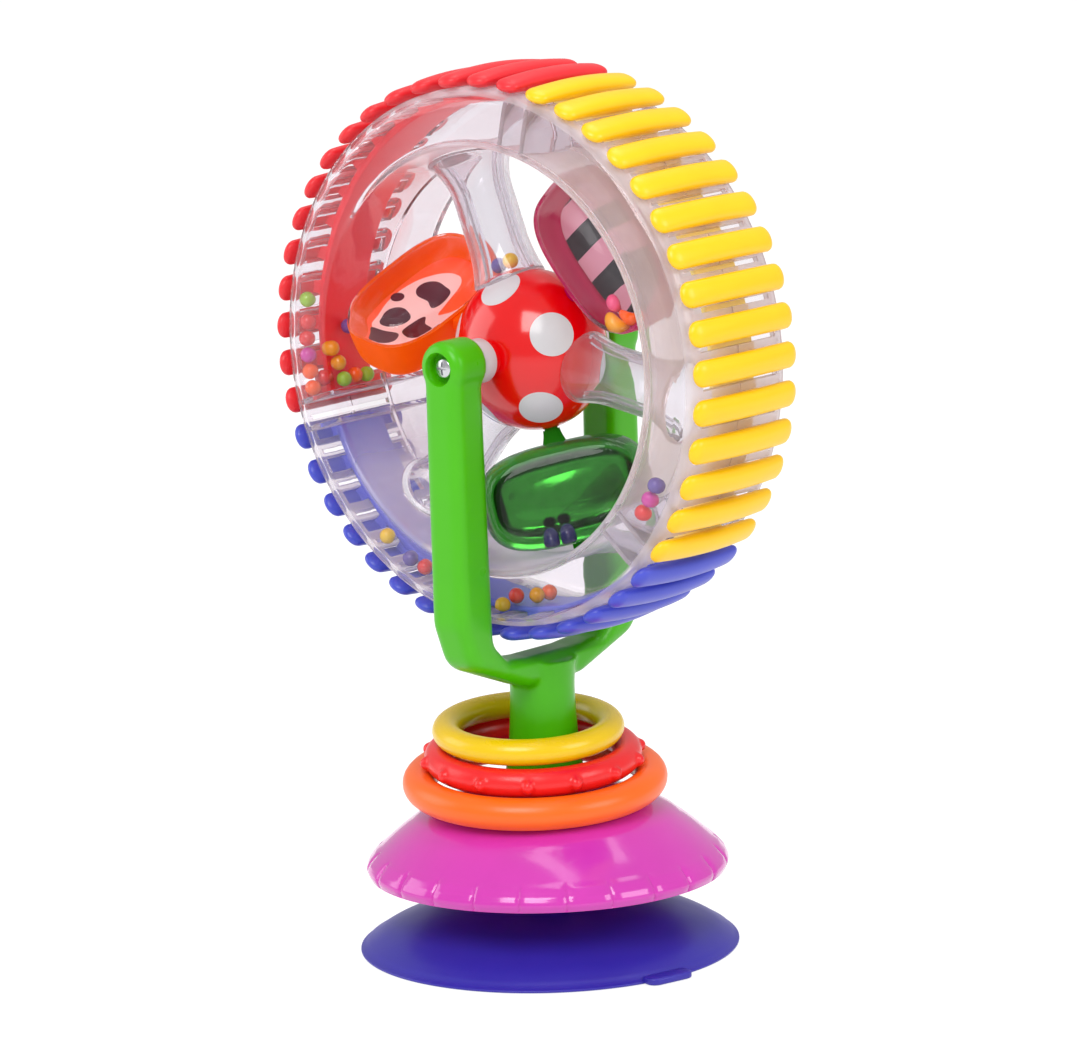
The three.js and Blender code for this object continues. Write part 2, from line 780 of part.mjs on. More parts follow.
const lensGeometry = () => (
  bowl(lensDepth - podParting - clearance).rotateX(Math.PI).translate(0, -podParting - clearance, 0)
);

// The flat printed card or mirror that lies on the tray's floor
function insertGeometry() {
  const inset = insertInsetShare * podHalfLength + podWall;
  const back = (1 - insertRaiseShare) * trayDepth - podWall - clearance;
  return skinned([podRing(inset, back), podRing(inset, back - insertThickness)]);
}

// Beads lie a bead pitch apart. A sector's beads are placed in bead pitches: along the rim from the
// partition at its start or, where end is true, at its end, across from the front face, and up from the rim.
const beadPitch = 2 * beadRadius + clearance;
const sectorBeads = [
  { name: "red_sector_bead", sector: 2, shares: [
    ["orange", 0, 0], ["orange", 1, 0], ["magenta", 2, 0], ["red", 3, 0], ["red", 4, 0.1], ["lime", 5.4, 0],
    ["red", 0.47, 1], ["amber", 2.1, 1.3], ["amber", 1.15, 1.75], ["lime", 0.1, 2], ["orange", 0.2, 3],
    ["lime", 0.1, 4], ["orange", 3.25, 2.85],
  ] },
  { name: "blue_sector_bead", sector: 1, shares: [
    ["yellow", 21.1, 0.4], ["purple", 19, 0.5], ["red", 18, 0.8], ["yellow", 11.6, 0.8],
    ["red", 10.7, 1.5], ["amber", 9.7, 2.2], ["orange", 9.6, 3.2],
  ] },
  { name: "yellow_sector_bead", sector: 0, end: true, shares: [
    ["red", 0, 0, 1.2], ["magenta", 1, 0, 1.2], ["purple", 2, 0, 1.2],
  ] },
];

// How far beads on the outer wall reach towards a face, as its wall and its sloping shoulder let them
const beadGap = beadRadius + clearance;
const beadFace = Math.min(
  rimHalfWidth - rimWall - beadGap,
  rimHalfWidth - rimShoulder + (1 - Math.SQRT2) * beadGap,
);

// Beads in the top spoke lie side by side on the ball
const spokeBeads = [["yellow", beadPitch / 2], ["purple", -beadPitch / 2]];

// Beads in a pod lie on its walls: a corner bead, one beside it on the end wall, one on these two, and
// a pair on the side wall
const podCornerPlaceShare = 0.625;
const podBeadRing = podRing(podWall + beadGap, 0);
const podBeadSide = podBeadRing[0].x;
const podBeadEnd = Math.min(...podBeadRing.map((point) => point.z));
const cornerBead = podBeadRing[podCornerPlaceShare * podFacets];
const besideX = cornerBead.x + Math.sqrt(beadPitch ** 2 - (podBeadEnd - cornerBead.z) ** 2);
const besideBead = new THREE.Vector3(besideX, 0, podBeadEnd);
const pairSpan = besideBead.clone().sub(cornerBead);
const pairBead = new THREE.Vector3(-pairSpan.z, 0, pairSpan.x).multiplyScalar(Math.sqrt(3) / 2)
  .add(cornerBead.clone().lerp(besideBead, 0.5));
const podBeads = {
  magenta: [
    ["amber", cornerBead.x, cornerBead.z],
    ["pink", besideBead.x, besideBead.z],
    ["orange", pairBead.x, pairBead.z],
  ],
  green: [["navy", podBeadSide, -beadPitch / 2], ["navy", podBeadSide, -beadPitch - beadPitch / 2]],
  orange: [],
};

function addBead(parent, name, colour, [x, y, z], angle = 0) {
  const mesh = add(parent, name, new THREE.OctahedronGeometry(beadRadius, 1), plastic(colours[colour]));
  mesh.position.set(x, y, z);
  mesh.rotation.y = angle;
}

// A bead on the rim's outer wall, or on the band where it lies across the band
function addSectorBead({ sector, end }, name, [colour, along, across, up = 0]) {
  const y = across * beadPitch - beadFace;
  const onBand = Math.abs(y) < bandHalfWidth + beadRadius;
  const floor = (onBand ? bandInnerRadius : rimRadius - rimWall) * flatShare;
  const radius = floor - beadGap - up * beadPitch;
  const turn = Math.asin((partitionThickness / 2 + beadGap) / radius) + along * beadPitch / radius;
  const start = radians((end ? sector + 1 : sector) * sectorAngle);
  const angle = end ? start - turn : start + turn;
  addBead(wheel, name, colour, [radius * Math.sin(angle), y, radius * Math.cos(angle)], angle);
}

// Base, fork and axle
add(toy, "suction_cup", cupGeometry(), plastic(colours.violet, 0.45));
add(toy, "base_dome", domeGeometry(), plastic(colours.magenta, 0.25));
add(toy, "stem_screw", screwGeometry().rotateX(Math.PI).translate(0, 0, stemScrewSeat), steel());
add(ringStack, "orange_ring", ringGeometry(orangeRing), plastic(colours.orange));
const redMesh = add(ringStack, "red_ring", ringGeometry(redRing, ringNubCount), plastic(colours.red));
redMesh.position.copy(ringShift).multiplyScalar(redRing.shift).setZ(redRise);
const yellowMesh = add(ringStack, "yellow_ring", ringGeometry(yellowRing), plastic(colours.yellow));
yellowMesh.position.copy(ringShift).multiplyScalar(redRing.shift + yellowRing.shift).setZ(yellowRise);
add(toy, "fork", forkGeometry(), plastic(colours.green, 0.3));

const rodEnd = armInnerFace + rodSeatDepth - clearance;
const screwSeat = armInnerFace + armThickness - counterboreDepth + clearance;
const rodHoleFloor = screwSeat - screwLength - clearance;
const rodHole = screwShankRadius + clearance;
const rod = turned([
  [0, -rodHoleFloor], [rodHole, -rodHoleFloor], [rodHole, -rodEnd], [rodRadius, -rodEnd],
  [rodRadius, rodEnd], [rodHole, rodEnd], [rodHole, rodHoleFloor], [0, rodHoleFloor],
], smallFacets);
add(toy, "axle_rod", rod, steel()).position.z = axleHeight;
for (const [side, turn] of [["front", Math.PI / 2], ["rear", -Math.PI / 2]]) {
  const screw = screwGeometry().translate(0, 0, screwSeat).rotateX(turn);
  add(toy, "axle_screw_" + side, screw, steel()).position.z = axleHeight;
}

// Wheel
const shell = rimShell();
add(wheel, "wheel_rear_shell", shell, clearPlastic(colours.clear));
add(wheel, "wheel_front_shell", shell, clearPlastic(colours.clear)).scale.y = -1;
["top", "right", "lower"].forEach((place, i) => {
  add(wheel, place + "_spoke", spokeGeometry(spokeAngles[i]), clearPlastic(colours.clear));
});
const hub = geometryOf(hubShell());
add(wheel, "hub_rear_shell", hub, plastic(colours.red, 0.2));
add(wheel, "hub_front_shell", hub, plastic(colours.red, 0.2)).scale.y = -1;
["yellow", "blue", "red"].forEach((colour, sector) => {
  add(wheel, colour + "_tread", treadGeometry(sector), plastic(colours[colour]));
});
for (const group of sectorBeads) {
  group.shares.forEach((share, i) => addSectorBead(group, `${group.name}_${i + 1}`, share));
}
spokeBeads.forEach(([colour, across], i) => {
  const radius = ballRadius + beadGap;
  const angle = radians(spokeAngles[0]) + Math.asin(across / radius);
  const place = [radius * Math.sin(angle), 0, radius * Math.cos(angle)];
  addBead(wheel, `spoke_bead_${i + 1}`, colour, place, angle);
});

// Pods
["magenta", "green", "orange"].forEach((colour, i) => {
  const holder = new THREE.Group();
  const angle = radians(podAngles[i]);
  holder.position.set(podRadius * Math.sin(angle), 0, podRadius * Math.cos(angle));
  holder.rotation.y = angle - Math.PI / 2;
  const pod = new THREE.Group();
  pod.rotation.x = radians(podSpins[colour]);
  holder.add(pod);
  wheel.add(holder);
  add(pod, colour + "_pod_tray", trayGeometry(), clearPlastic(colours[colour]));
  add(pod, colour + "_pod_lens", lensGeometry(), clearPlastic(colours.clear));
  add(pod, colour + "_pod_insert", insertGeometry(), plastic(colours.clear));
  podBeads[colour].forEach(([beadColour, x, z], n) => {
    addBead(pod, `${colour}_pod_bead_${n + 1}`, beadColour, [x, -podParting, z]);
  });
});

export default toy;
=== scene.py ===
# The spinning wheel toy's looks: smooth pieces, materials, light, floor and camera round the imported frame.
# Lengths are in millimetres in the tables and are turned into metres when a mesh is made.

import json
import math
from types import SimpleNamespace as Values

import bmesh
import bpy
import numpy as np
from mathutils import Matrix, Vector

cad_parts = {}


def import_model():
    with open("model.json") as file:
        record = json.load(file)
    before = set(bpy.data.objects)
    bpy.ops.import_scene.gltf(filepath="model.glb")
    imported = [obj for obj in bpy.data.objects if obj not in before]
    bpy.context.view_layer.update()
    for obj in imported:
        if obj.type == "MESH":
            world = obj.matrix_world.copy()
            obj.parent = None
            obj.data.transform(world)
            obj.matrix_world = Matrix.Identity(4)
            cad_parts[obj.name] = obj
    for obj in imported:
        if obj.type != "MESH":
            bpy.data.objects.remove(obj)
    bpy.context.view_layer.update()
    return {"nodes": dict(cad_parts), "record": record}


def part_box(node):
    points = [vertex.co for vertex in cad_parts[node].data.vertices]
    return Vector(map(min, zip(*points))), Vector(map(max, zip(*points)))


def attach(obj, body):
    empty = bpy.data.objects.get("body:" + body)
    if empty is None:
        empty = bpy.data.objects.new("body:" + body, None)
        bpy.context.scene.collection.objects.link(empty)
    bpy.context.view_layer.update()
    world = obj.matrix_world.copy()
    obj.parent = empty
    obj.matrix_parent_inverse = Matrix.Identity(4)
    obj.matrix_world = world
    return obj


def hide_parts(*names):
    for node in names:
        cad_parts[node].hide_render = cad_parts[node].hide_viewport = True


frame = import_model()

MM = 0.001
TAU = 2 * math.pi
WHITE = (1.0, 1.0, 1.0, 1.0)
CLEARANCE = 0.3
BEVEL_SHARE = 0.3

# Suction cup and its pull tab
CUP = Values(radius=56.7, height=15.4, hollow=8.0, rim=3.4, edge=0.9, stud=7.0, stud_top=30.8)
CUP_CORNERS = Values(foot=0.2, rim=0.35, lip=0.3)
CUP_TOP_SHARES = [(0.966, 0.15), (0.84, 0.42), (0.61, 0.76), (0.36, 0.95)]
CUP_UNDER_SHARES = [(0.72, 0.52), (0.36, 0.92)]
STUD_FOOT = Values(spread=2.0, start=0.6, end=2.4)
TAB = Values(reach=60.8, width=15.6, thickness=2.2, corner=3.0, root_corner=1.0, angle=-12)
TAB_UNDER_EDGE = [(0.02, 0.5), (0.25, 0.1), (0.6, 0.0)]
TAB_TOP_EDGE = [(0.6, 0.0), (0.2, 0.15), (0.0, 0.6)]

# Dome, the socket under its top and the grooved panels round its rim
DOME = Values(radius=54.1, rim=23.2, band=4.3, tuck=0.8, top=47.6, top_radius=18.0, wall=2.4)
DOME_LIP = Values(width=0.6, height=0.3)
DOME_SKIN_SHARES = [(0.93, 0.16), (0.81, 0.44), (0.67, 0.7), (0.5, 0.9)]
SOCKET = Values(bore=8.8, wall=3.0, foot=25.7, web_top=36.2, web=2.5, hole=2.0, stud_bore=7.3)
PANELS = Values(count=24, shift=0.15, inner=40.0, foot=0.2, top=30.2, relief=0.28)
GROOVE = Values(angle=0.55, depth=0.55, reach=1.7)

# Rings: radius, half width and half height
RINGS = {"orange": (34.6, 4.95, 4.85), "red": (28.3, 4.25, 4.3), "yellow": (24.5, 4.15, 3.95)}
KNOBS = Values(count=14, radius=2.1, reach=32.2)

# Fork, axle and screws
AXLE_HEIGHT = 180.5
ARM = Values(inner=28.0, root_inner=26.5, thickness=13.2, width=13.5, edge=3.4)
ARM_BOSS = Values(radius=8.0, root=1.0, edge=3.2)
YOKE = Values(foot=(12.0, 81.4, 3.0), knee_inset=5.0, knee=(90.6, 9.0), shoulder=(104.0, 10.0),
              inner_shoulder=(97.0, 6.0), crotch=(20.0, 90.9, 5.0), middle=(9.7, 90.0))
STEM_CURVE = [(12.5, 47.9), (10.5, 62.4), (9.7, 77.0), (10.0, 84.0), (10.7, 88.0)]
SPIGOT = Values(radius=8.5, foot=36.6, top=50.0)
STEM_HOLE = Values(foot=30.0, top=45.7)
SCREW_BORE = 2.0
AXLE_SEAT = Values(radius=3.3, reach=3.0)
COUNTERBORE = Values(radius=4.7, depth=4.0, bevel=0.6, bevel_depth=0.5, over=0.3, overrun=3.0)
SCREW = Values(shank=1.7, head=3.1, height=2.0, length=12.0, tip=0.6, under=0.2, edge=0.9, side_share=0.7)
CROSS = Values(reach=1.9, half_width=0.35, depth=1.1, overrun=1.0, edge=0.05)
ROD = Values(radius=3.0, reach=2.7, edge=0.4)

# Rim, its slots and partitions, and the spokes
WHEEL_TURN = 12
THIRD = 120
RIB_COUNT = 45
RIB_PITCH = 360 / RIB_COUNT
SEAM = 0.15
RIM = Values(outer=79.6, bore=60.5, draft=1.8, half=23.0, shoulder=5.5, wall=1.8, corner=1.5,
             inner_corner=0.8, inner_slope=0.3)
BORE_ROWS = 16
FACE_SHARES = (0.35, 0.7, 1.0)
OUTER_ROWS = (14.0, 11.0, 8.0, 4.0)
SLOT = Values(width=5.0, half_length=16.5)
COLUMN_TURNS = (4.0, 2.9)
PARTITION = Values(thickness=10.0, wall=1.6, gap=0.1, foot_gap=0.2, edge=0.25)
SPOKE = Values(radius=9.0, wall=1.6, foot=11.2, flare=13.5, lead=33, foot_lift=1.2, end_drop=1.6,
               ball_gap=0.35, lip=0.4, sector=30, hole_share=0.6)
SPOKE_SEAM = Values(half_width=0.9, depth=2.6, sink_share=0.4)

# Treads: the ribs outside the rim and the band inside it
RIB = Values(half_length=19.3, half_width=3.9, end=83.3, crown=1.75, seat_gap=0.05, tip_share=0.8,
             round_share=0.9, side_power=0.95, top_power=0.9, smallest=0.04)
BAND = Values(thickness=2.2, half_width=9.0, corner=0.7)
ROOT = Values(sink=0.5, rise=1.2, edge=0.3)

# Ball with its dots and collars
BALL = Values(radius=24.0, half_width=20.5, boss=5.5, boss_edge=0.5, inset=0.02, seam=0.06)
DOT = Values(radius=6.8, count=5, latitude=30, turn=55, rear_turn=36, arm=23, edge=0.1, lift=0.07,
             sink=-0.3, least=0.02)
COLLAR = Values(radius=6.6, start=22.3, edge=0.4, gap=0.1)

# Pods, their pins and inserts, and the beads
POD = Values(radius=43.398, half_length=15.198, half_width=25.3, corner=0.645, tray=11.6, lens=10.0,
             parting=2.6, wall=1.6, lead=31.8)
POD_POINTS = 72

# Each pod's turn about its pins, and its insert's slot and look
PODS = {"magenta": (-5, "card", "card_stripes"), "green": (-42, "mirror", "mirror"),
        "orange": (64, "card", "card_dots")}

BOWL_SHARES = [(0.0, 0.0), (0.03, 0.3), (0.07, 0.58), (0.12, 0.78), (0.19, 0.9), (0.28, 0.965), (0.42, 1.0)]
NECK = Values(half_width=2.5, spread=1.7, power=1.5, half_depth=2.2, corner=1.0)
PIN = Values(radius=2.0, sink=3.0, reach=0.3, root=0.8)
INSERT = Values(thickness=0.8, edge=0.2, edge_height=0.1, inset_share=0.28, depth_share=0.91)
BEAD_RADIUS = 2.35

# The rim's frost: where it starts and ends, out from the axle, how strong it is, and a clear stretch
RIM_FROST = [(64.6, 63.2, 0.42), (77.2, 77.7, 0.42)]
CLEAR_STRETCH = Values(angle=-75, clear=0.85, milky=0.55)

wheel_centre = Matrix.Translation((0, 0, AXLE_HEIGHT * MM))
wheel_matrix = wheel_centre @ Matrix.Rotation(math.radians(WHEEL_TURN), 4, "Y")


def linear(colour):
    """A colour as seen, from 0 to 255, as Blender's linear values."""
    parts = [c / 255 for c in colour]
    return tuple(p / 12.92 if p <= 0.04045 else ((p + 0.055) / 1.055) ** 2.4 for p in parts) + (1.0,)


def lighter(colour, step):
    return linear(tuple(min(255, c + step) for c in colour))


# Materials

UNEVENNESS = 0.05


class Nodes:
    """The node tree of a new material or world, with short calls."""

    def __init__(self, owner, output="OutputMaterial"):
        self.owner = owner
        owner.use_nodes = True
        self.tree = owner.node_tree
        self.tree.nodes.clear()
        self.output = self.tree.nodes.new("ShaderNode" + output)

    def new(self, kind, inputs=None, **settings):
        node = self.tree.nodes.new("ShaderNode" + kind)
        for key, value in settings.items():
            setattr(node, key, value)
        for key, value in (inputs or {}).items():
            socket = node.inputs[key]
            if isinstance(value, bpy.types.NodeSocket):
                self.tree.links.new(value, socket)
            else:
                socket.default_value = value
        return node

    def math(self, operation, a, b=0.0, c=0.0):
        return self.new("Math", {0: a, 1: b, 2: c}, operation=operation).outputs[0]

    def mix_colour(self, factor, a, b):
        return self.new("Mix", {0: factor, 6: a, 7: b}, data_type="RGBA").outputs[2]

    def mix_shader(self, factor, a, b):
        return self.new("MixShader", {"Fac": factor, 1: a, 2: b}).outputs[0]

    def length(self, a, b):
        squares = self.math("ADD", self.math("MULTIPLY", a, a), self.math("MULTIPLY", b, b))
        return self.math("SQRT", squares)

    def finish(self, shader):
        self.tree.links.new(shader, self.output.inputs["Surface"])
        return self.owner


def material_nodes(name):
    return Nodes(bpy.data.materials.new(name))


def moulded_plastic(name, colour, roughness=0.3, coat=0.0, bump=0.06, specular=0.5):
    """Moulded plastic: a faint unevenness of colour and gloss, and a fine orange-peel bump."""
    n = material_nodes(name)
    place = n.new("TexCoord").outputs["Object"]
    cloud = n.new("TexNoise", {"Vector": place, "Scale": 90.0, "Detail": 3.0}).outputs["Fac"]
    grain = n.new("TexNoise", {"Vector": place, "Scale": 900.0, "Detail": 2.0}).outputs["Fac"]
    base = linear(colour)[:3]
    dark = tuple(c * (1 - UNEVENNESS) for c in base) + (1.0,)
    light = tuple(min(1.0, c * (1 + UNEVENNESS)) for c in base) + (1.0,)
    relief = n.new("Bump", {"Height": grain, "Strength": bump, "Distance": 0.0002}).outputs["Normal"]
    shader = n.new("BsdfPrincipled", {
        "Base Color": n.mix_colour(cloud, dark, light),
        "Roughness": n.math("MULTIPLY_ADD", cloud, 0.12, roughness - 0.06),
        "Normal": relief, "Coat Weight": coat, "Coat Roughness": 0.08, "Specular IOR Level": specular,
    })
    return n.finish(shader.outputs[0])


def rim_haze(n, place):
    """More milk in the rim's bore wall and outer wall than in its faces, except in one clear stretch."""
    parts = n.new("SeparateXYZ", {"Vector": place}).outputs
    up = n.math("SUBTRACT", parts[2], AXLE_HEIGHT * MM)
    radius = n.length(parts[0], up)
    haze = 0.0
    for start, end, most in RIM_FROST:
        zone = {"Value": radius, "From Min": start * MM, "From Max": end * MM, "To Max": most}
        haze = n.math("ADD", haze, n.new("MapRange", zone).outputs[0])
    turn = math.radians(CLEAR_STRETCH.angle)
    across = n.math("MULTIPLY", parts[0], math.sin(turn))
    along = n.math("MULTIPLY", up, math.cos(turn))
    toward = n.math("DIVIDE", n.math("ADD", across, along), radius)
    stretch = {"Value": toward, "From Min": CLEAR_STRETCH.clear, "From Max": CLEAR_STRETCH.milky}
    return n.math("MULTIPLY", haze, n.new("MapRange", stretch).outputs[0])


def clear_plastic(name, tint, haze, edge_haze, body=(236, 228, 234), bend=1.4, shine=0.5, frost=None):
    """Clear moulded plastic: it bends light, is milkier seen edge on, and lets the lamps through."""
    n = material_nodes(name)
    place = n.new("TexCoord").outputs["Object"]
    cloud = n.new("TexNoise", {"Vector": place, "Scale": 60.0, "Detail": 2.0}).outputs["Fac"]
    wave = n.new("TexNoise", {"Vector": place, "Scale": 140.0, "Detail": 1.0}).outputs["Fac"]
    relief = n.new("Bump", {"Height": wave, "Strength": 0.04, "Distance": 0.001}).outputs["Normal"]
    glass = n.new("BsdfGlass", {"Color": linear(tint), "Roughness": 0.01, "IOR": bend, "Normal": relief})
    milk = n.mix_colour(cloud, linear(body), lighter(body, 12))
    solid = n.new("BsdfPrincipled", {"Base Color": milk, "Roughness": 0.35, "Specular IOR Level": shine})
    glow = n.new("BsdfTranslucent", {"Color": milk}).outputs[0]
    facing = n.new("LayerWeight", {"Blend": 0.5}).outputs["Facing"]
    steep = n.math("MULTIPLY_ADD", n.math("MULTIPLY", facing, facing), edge_haze, haze)
    if frost:
        steep = n.math("ADD", steep, frost(n, place))
    amount = n.math("MULTIPLY", steep, n.math("MULTIPLY_ADD", cloud, 0.4, 0.8))
    hazy = n.mix_shader(amount, glass.outputs[0], n.mix_shader(0.4, solid.outputs[0], glow))
    path = n.new("LightPath").outputs
    passing = n.math("MAXIMUM", path["Is Shadow Ray"], path["Is Diffuse Ray"])
    through = n.new("BsdfTransparent", {"Color": linear(tint)}).outputs[0]
    return n.finish(n.mix_shader(passing, hazy, through))


def metal(name, colour, roughness):
    n = material_nodes(name)
    place = n.new("TexCoord").outputs["Object"]
    streak = n.new("TexNoise", {"Vector": place, "Scale": 400.0, "Detail": 3.0}).outputs["Fac"]
    shade = n.mix_colour(streak, linear(colour), lighter(colour, 18))
    rough = n.math("MULTIPLY_ADD", streak, 0.15, roughness)
    shader = n.new("BsdfPrincipled", {"Base Color": shade, "Roughness": rough, "Metallic": 1.0})
    return n.finish(shader.outputs[0])


def card(name, pattern):
    """A printed card. The pattern is made from the card's own flat coordinates, in millimetres."""
    n = material_nodes(name)
    flat = n.new("UVMap", uv_map="flat").outputs["UV"]
    parts = n.new("SeparateXYZ", {"Vector": flat}).outputs
    mask, dark, light = pattern(n, parts[0], parts[1])
    fibre = n.new("TexNoise", {"Vector": flat, "Scale": 3.0, "Detail": 4.0}).outputs["Fac"]
    paper = n.mix_colour(n.math("MULTIPLY", fibre, 0.1), light, WHITE)
    shader = n.new("BsdfPrincipled", {"Base Color": n.mix_colour(mask, paper, dark), "Roughness": 0.4})
    return n.finish(shader.outputs[0])


STRIPES = Values(along=0.995, across=0.1, start=149.4, pitch=15.3, share=0.49)

# Each dot's place along and across the card, and its radius
CARD_DOTS = [(-3.2, 0.4, 4.2), (10.8, 1.4, 3.6), (4.2, 6.6, 2.0), (-8.4, -6.4, 1.8), (-1.6, -8.4, 1.6),
             (4.6, -5.2, 1.3), (12.4, -7.2, 1.8)]
FIELD = Values(u=3.0, v=-3.0, half_length=16.4, half_width=11.0)


def stripes(n, u, v):
    """Broad slanting bands."""
    along, across = n.math("MULTIPLY", u, STRIPES.along), n.math("MULTIPLY", v, STRIPES.across)
    place = n.math("ADD", n.math("ADD", along, across), STRIPES.start)
    share = n.math("FRACT", n.math("DIVIDE", place, STRIPES.pitch))
    mask = n.math("LESS_THAN", share, STRIPES.share)
    return mask, linear((26, 20, 28)), linear((216, 146, 166))


def dots(n, u, v):
    """Dark round dots of several sizes, on a pale oval field with a bright border."""
    across = n.math("DIVIDE", n.math("SUBTRACT", u, FIELD.u), FIELD.half_length)
    up = n.math("DIVIDE", n.math("SUBTRACT", v, FIELD.v), FIELD.half_width)
    border = n.math("GREATER_THAN", n.length(across, up), 1.0)
    ground = n.mix_colour(border, linear((250, 214, 208)), linear((255, 92, 8)))
    mask = 0.0
    for x, y, radius in CARD_DOTS:
        far = n.length(n.math("SUBTRACT", u, x), n.math("SUBTRACT", v, y))
        mask = n.math("MAXIMUM", mask, n.math("LESS_THAN", far, radius))
    return mask, linear((72, 36, 50)), ground


MATERIALS = {
    "cup": moulded_plastic("cup_blue", (46, 36, 160), roughness=0.38, bump=0.03),
    "dome": moulded_plastic("dome_magenta", (204, 52, 172), roughness=0.16, coat=0.4, bump=0.02),
    "ring_orange": moulded_plastic("ring_orange", (255, 104, 8), roughness=0.34),
    "ring_red": moulded_plastic("ring_red", (232, 26, 30), roughness=0.3),
    "ring_yellow": moulded_plastic("ring_yellow", (232, 192, 0), roughness=0.26),
    "fork": moulded_plastic("fork_green", (72, 180, 0), roughness=0.3, specular=0.35),
    "ball": moulded_plastic("ball_red", (224, 0, 4), roughness=0.16, coat=0.3, bump=0.02),
    "ball_dot": moulded_plastic("ball_white", (204, 203, 208), roughness=0.2, bump=0.02),
    "rib_yellow": moulded_plastic("rib_yellow", (252, 200, 0), roughness=0.34),
    "rib_blue": moulded_plastic("rib_blue", (66, 76, 196), roughness=0.36),
    "rib_red": moulded_plastic("rib_red", (230, 36, 46), roughness=0.4),
    # The bands are lighter copies of their ribs' colours (the red one purer): painted light that makes up
    # for the shade between the ribs
    "band_yellow": moulded_plastic("band_yellow", (255, 228, 140), roughness=0.4),
    "band_blue": moulded_plastic("band_blue", (92, 100, 214), roughness=0.4),
    "band_red": moulded_plastic("band_red", (250, 14, 40), roughness=0.4),
    "steel": metal("screw_steel", (196, 196, 200), 0.18),
    "mirror": metal("pod_mirror", (34, 112, 28), 0.03),
    "clear": clear_plastic("clear_rim", (250, 248, 250), 0.005, 0.25, (230, 221, 227), frost=rim_haze),
    "clear_thin": clear_plastic("clear_spoke", (248, 247, 249), 0.04, 0.42, (222, 220, 224)),
    "lens": clear_plastic("clear_lens", (253, 252, 253), 0.0, 0.06, bend=1.3),
    "tray_magenta": clear_plastic("tint_magenta", (214, 20, 120), 0.85, 0.2, (190, 0, 90), shine=0.05),
    "tray_green": clear_plastic("tint_green", (84, 196, 24), 0.7, 0.2, (30, 128, 0), shine=0.15),
    "tray_orange": clear_plastic("tint_orange", (255, 150, 30), 0.85, 0.2, (255, 110, 0), shine=0.1),
    "card_stripes": card("card_stripes", stripes),
    "card_dots": card("card_dots", dots),
}
BEAD_COLOURS = {
    "plastic_orange": (255, 96, 10), "plastic_red": (226, 40, 40), "plastic_yellow": (238, 196, 10),
    "plastic_lime": (150, 200, 30), "plastic_amber": (240, 160, 10), "plastic_magenta": (206, 50, 160),
    "plastic_pink": (236, 80, 130), "plastic_purple": (96, 78, 160), "plastic_navy": (44, 44, 92),
}
BEAD_MATERIALS = {slot: moulded_plastic("bead_" + slot, colour, roughness=0.2, bump=0.0)
                  for slot, colour in BEAD_COLOURS.items()}

# Meshes and objects


def solid_mesh(name, shape, weld=True):
    """A mesh in metres from points in millimetres, with doubles merged and its faces turned outwards."""
    verts, faces = shape
    mesh = bpy.data.meshes.new(name)
    mesh.from_pydata((np.asarray(verts, float) * MM).tolist(), [], [list(f) for f in faces])
    work = bmesh.new()
    work.from_mesh(mesh)
    if weld:
        bmesh.ops.remove_doubles(work, verts=work.verts, dist=2e-7)
        bmesh.ops.dissolve_degenerate(work, dist=1e-8, edges=work.edges)
    bmesh.ops.recalc_face_normals(work, faces=work.faces)
    work.to_mesh(mesh)
    work.free()
    return mesh


def in_scene(name, data):
    """A new object with this data, in the scene."""
    obj = bpy.data.objects.new(name, data)
    bpy.context.scene.collection.objects.link(obj)
    return obj


def piece(name, mesh, body, look, replaces=(), sharp=35):
    """A mesh as a smooth piece that rides on a body."""
    mesh.name = name
    mesh.materials.clear()
    mesh.materials.append(look)
    mesh.shade_smooth()
    mesh.set_sharp_from_angle(angle=math.radians(sharp))
    obj = in_scene(name, mesh)
    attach(obj, body)
    if replaces:
        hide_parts(*replaces)
    return obj


def make(name, shape, body, look, replaces=(), matrix=None, sharp=35, weld=True):
    """A shape's piece, moved by a matrix in metres."""
    mesh = solid_mesh(name, shape, weld)
    if matrix is not None:
        mesh.transform(matrix)
    return piece(name, mesh, body, look, replaces, sharp)


def drop(obj):
    mesh = obj.data
    bpy.data.objects.remove(obj)
    bpy.data.meshes.remove(mesh)


def evaluated(obj):
    """The object's mesh with its modifiers, as a new mesh, and the object removed."""
    graph = bpy.context.evaluated_depsgraph_get()
    graph.update()
    mesh = bpy.data.meshes.new_from_object(obj.evaluated_get(graph))
    drop(obj)
    return mesh


def scratch(shape):
    """A plain object for modifiers to work on."""
    return in_scene("scratch", solid_mesh("scratch", shape))


def carved(obj, cutters):
    """The object's mesh with shapes taken out of it."""
    tools = [scratch(shape) for shape in cutters]
    for tool in tools:
        cut = obj.modifiers.new("cut", "BOOLEAN")
        cut.operation = "DIFFERENCE"
        cut.solver = "EXACT"
        cut.object = tool
    mesh = evaluated(obj)
    for tool in tools:
        drop(tool)
    return mesh


def melted(shape, voxel, smooth_turns):
    """Overlapping shapes as one skin with soft joins."""
    obj = scratch(shape)
    remesh = obj.modifiers.new("remesh", "REMESH")
    remesh.mode = "VOXEL"
    remesh.voxel_size = voxel * MM
    soften = obj.modifiers.new("soften", "SMOOTH")
    soften.factor = 0.5
    soften.iterations = smooth_turns
    return evaluated(obj)


# Outlines and shapes, in millimetres


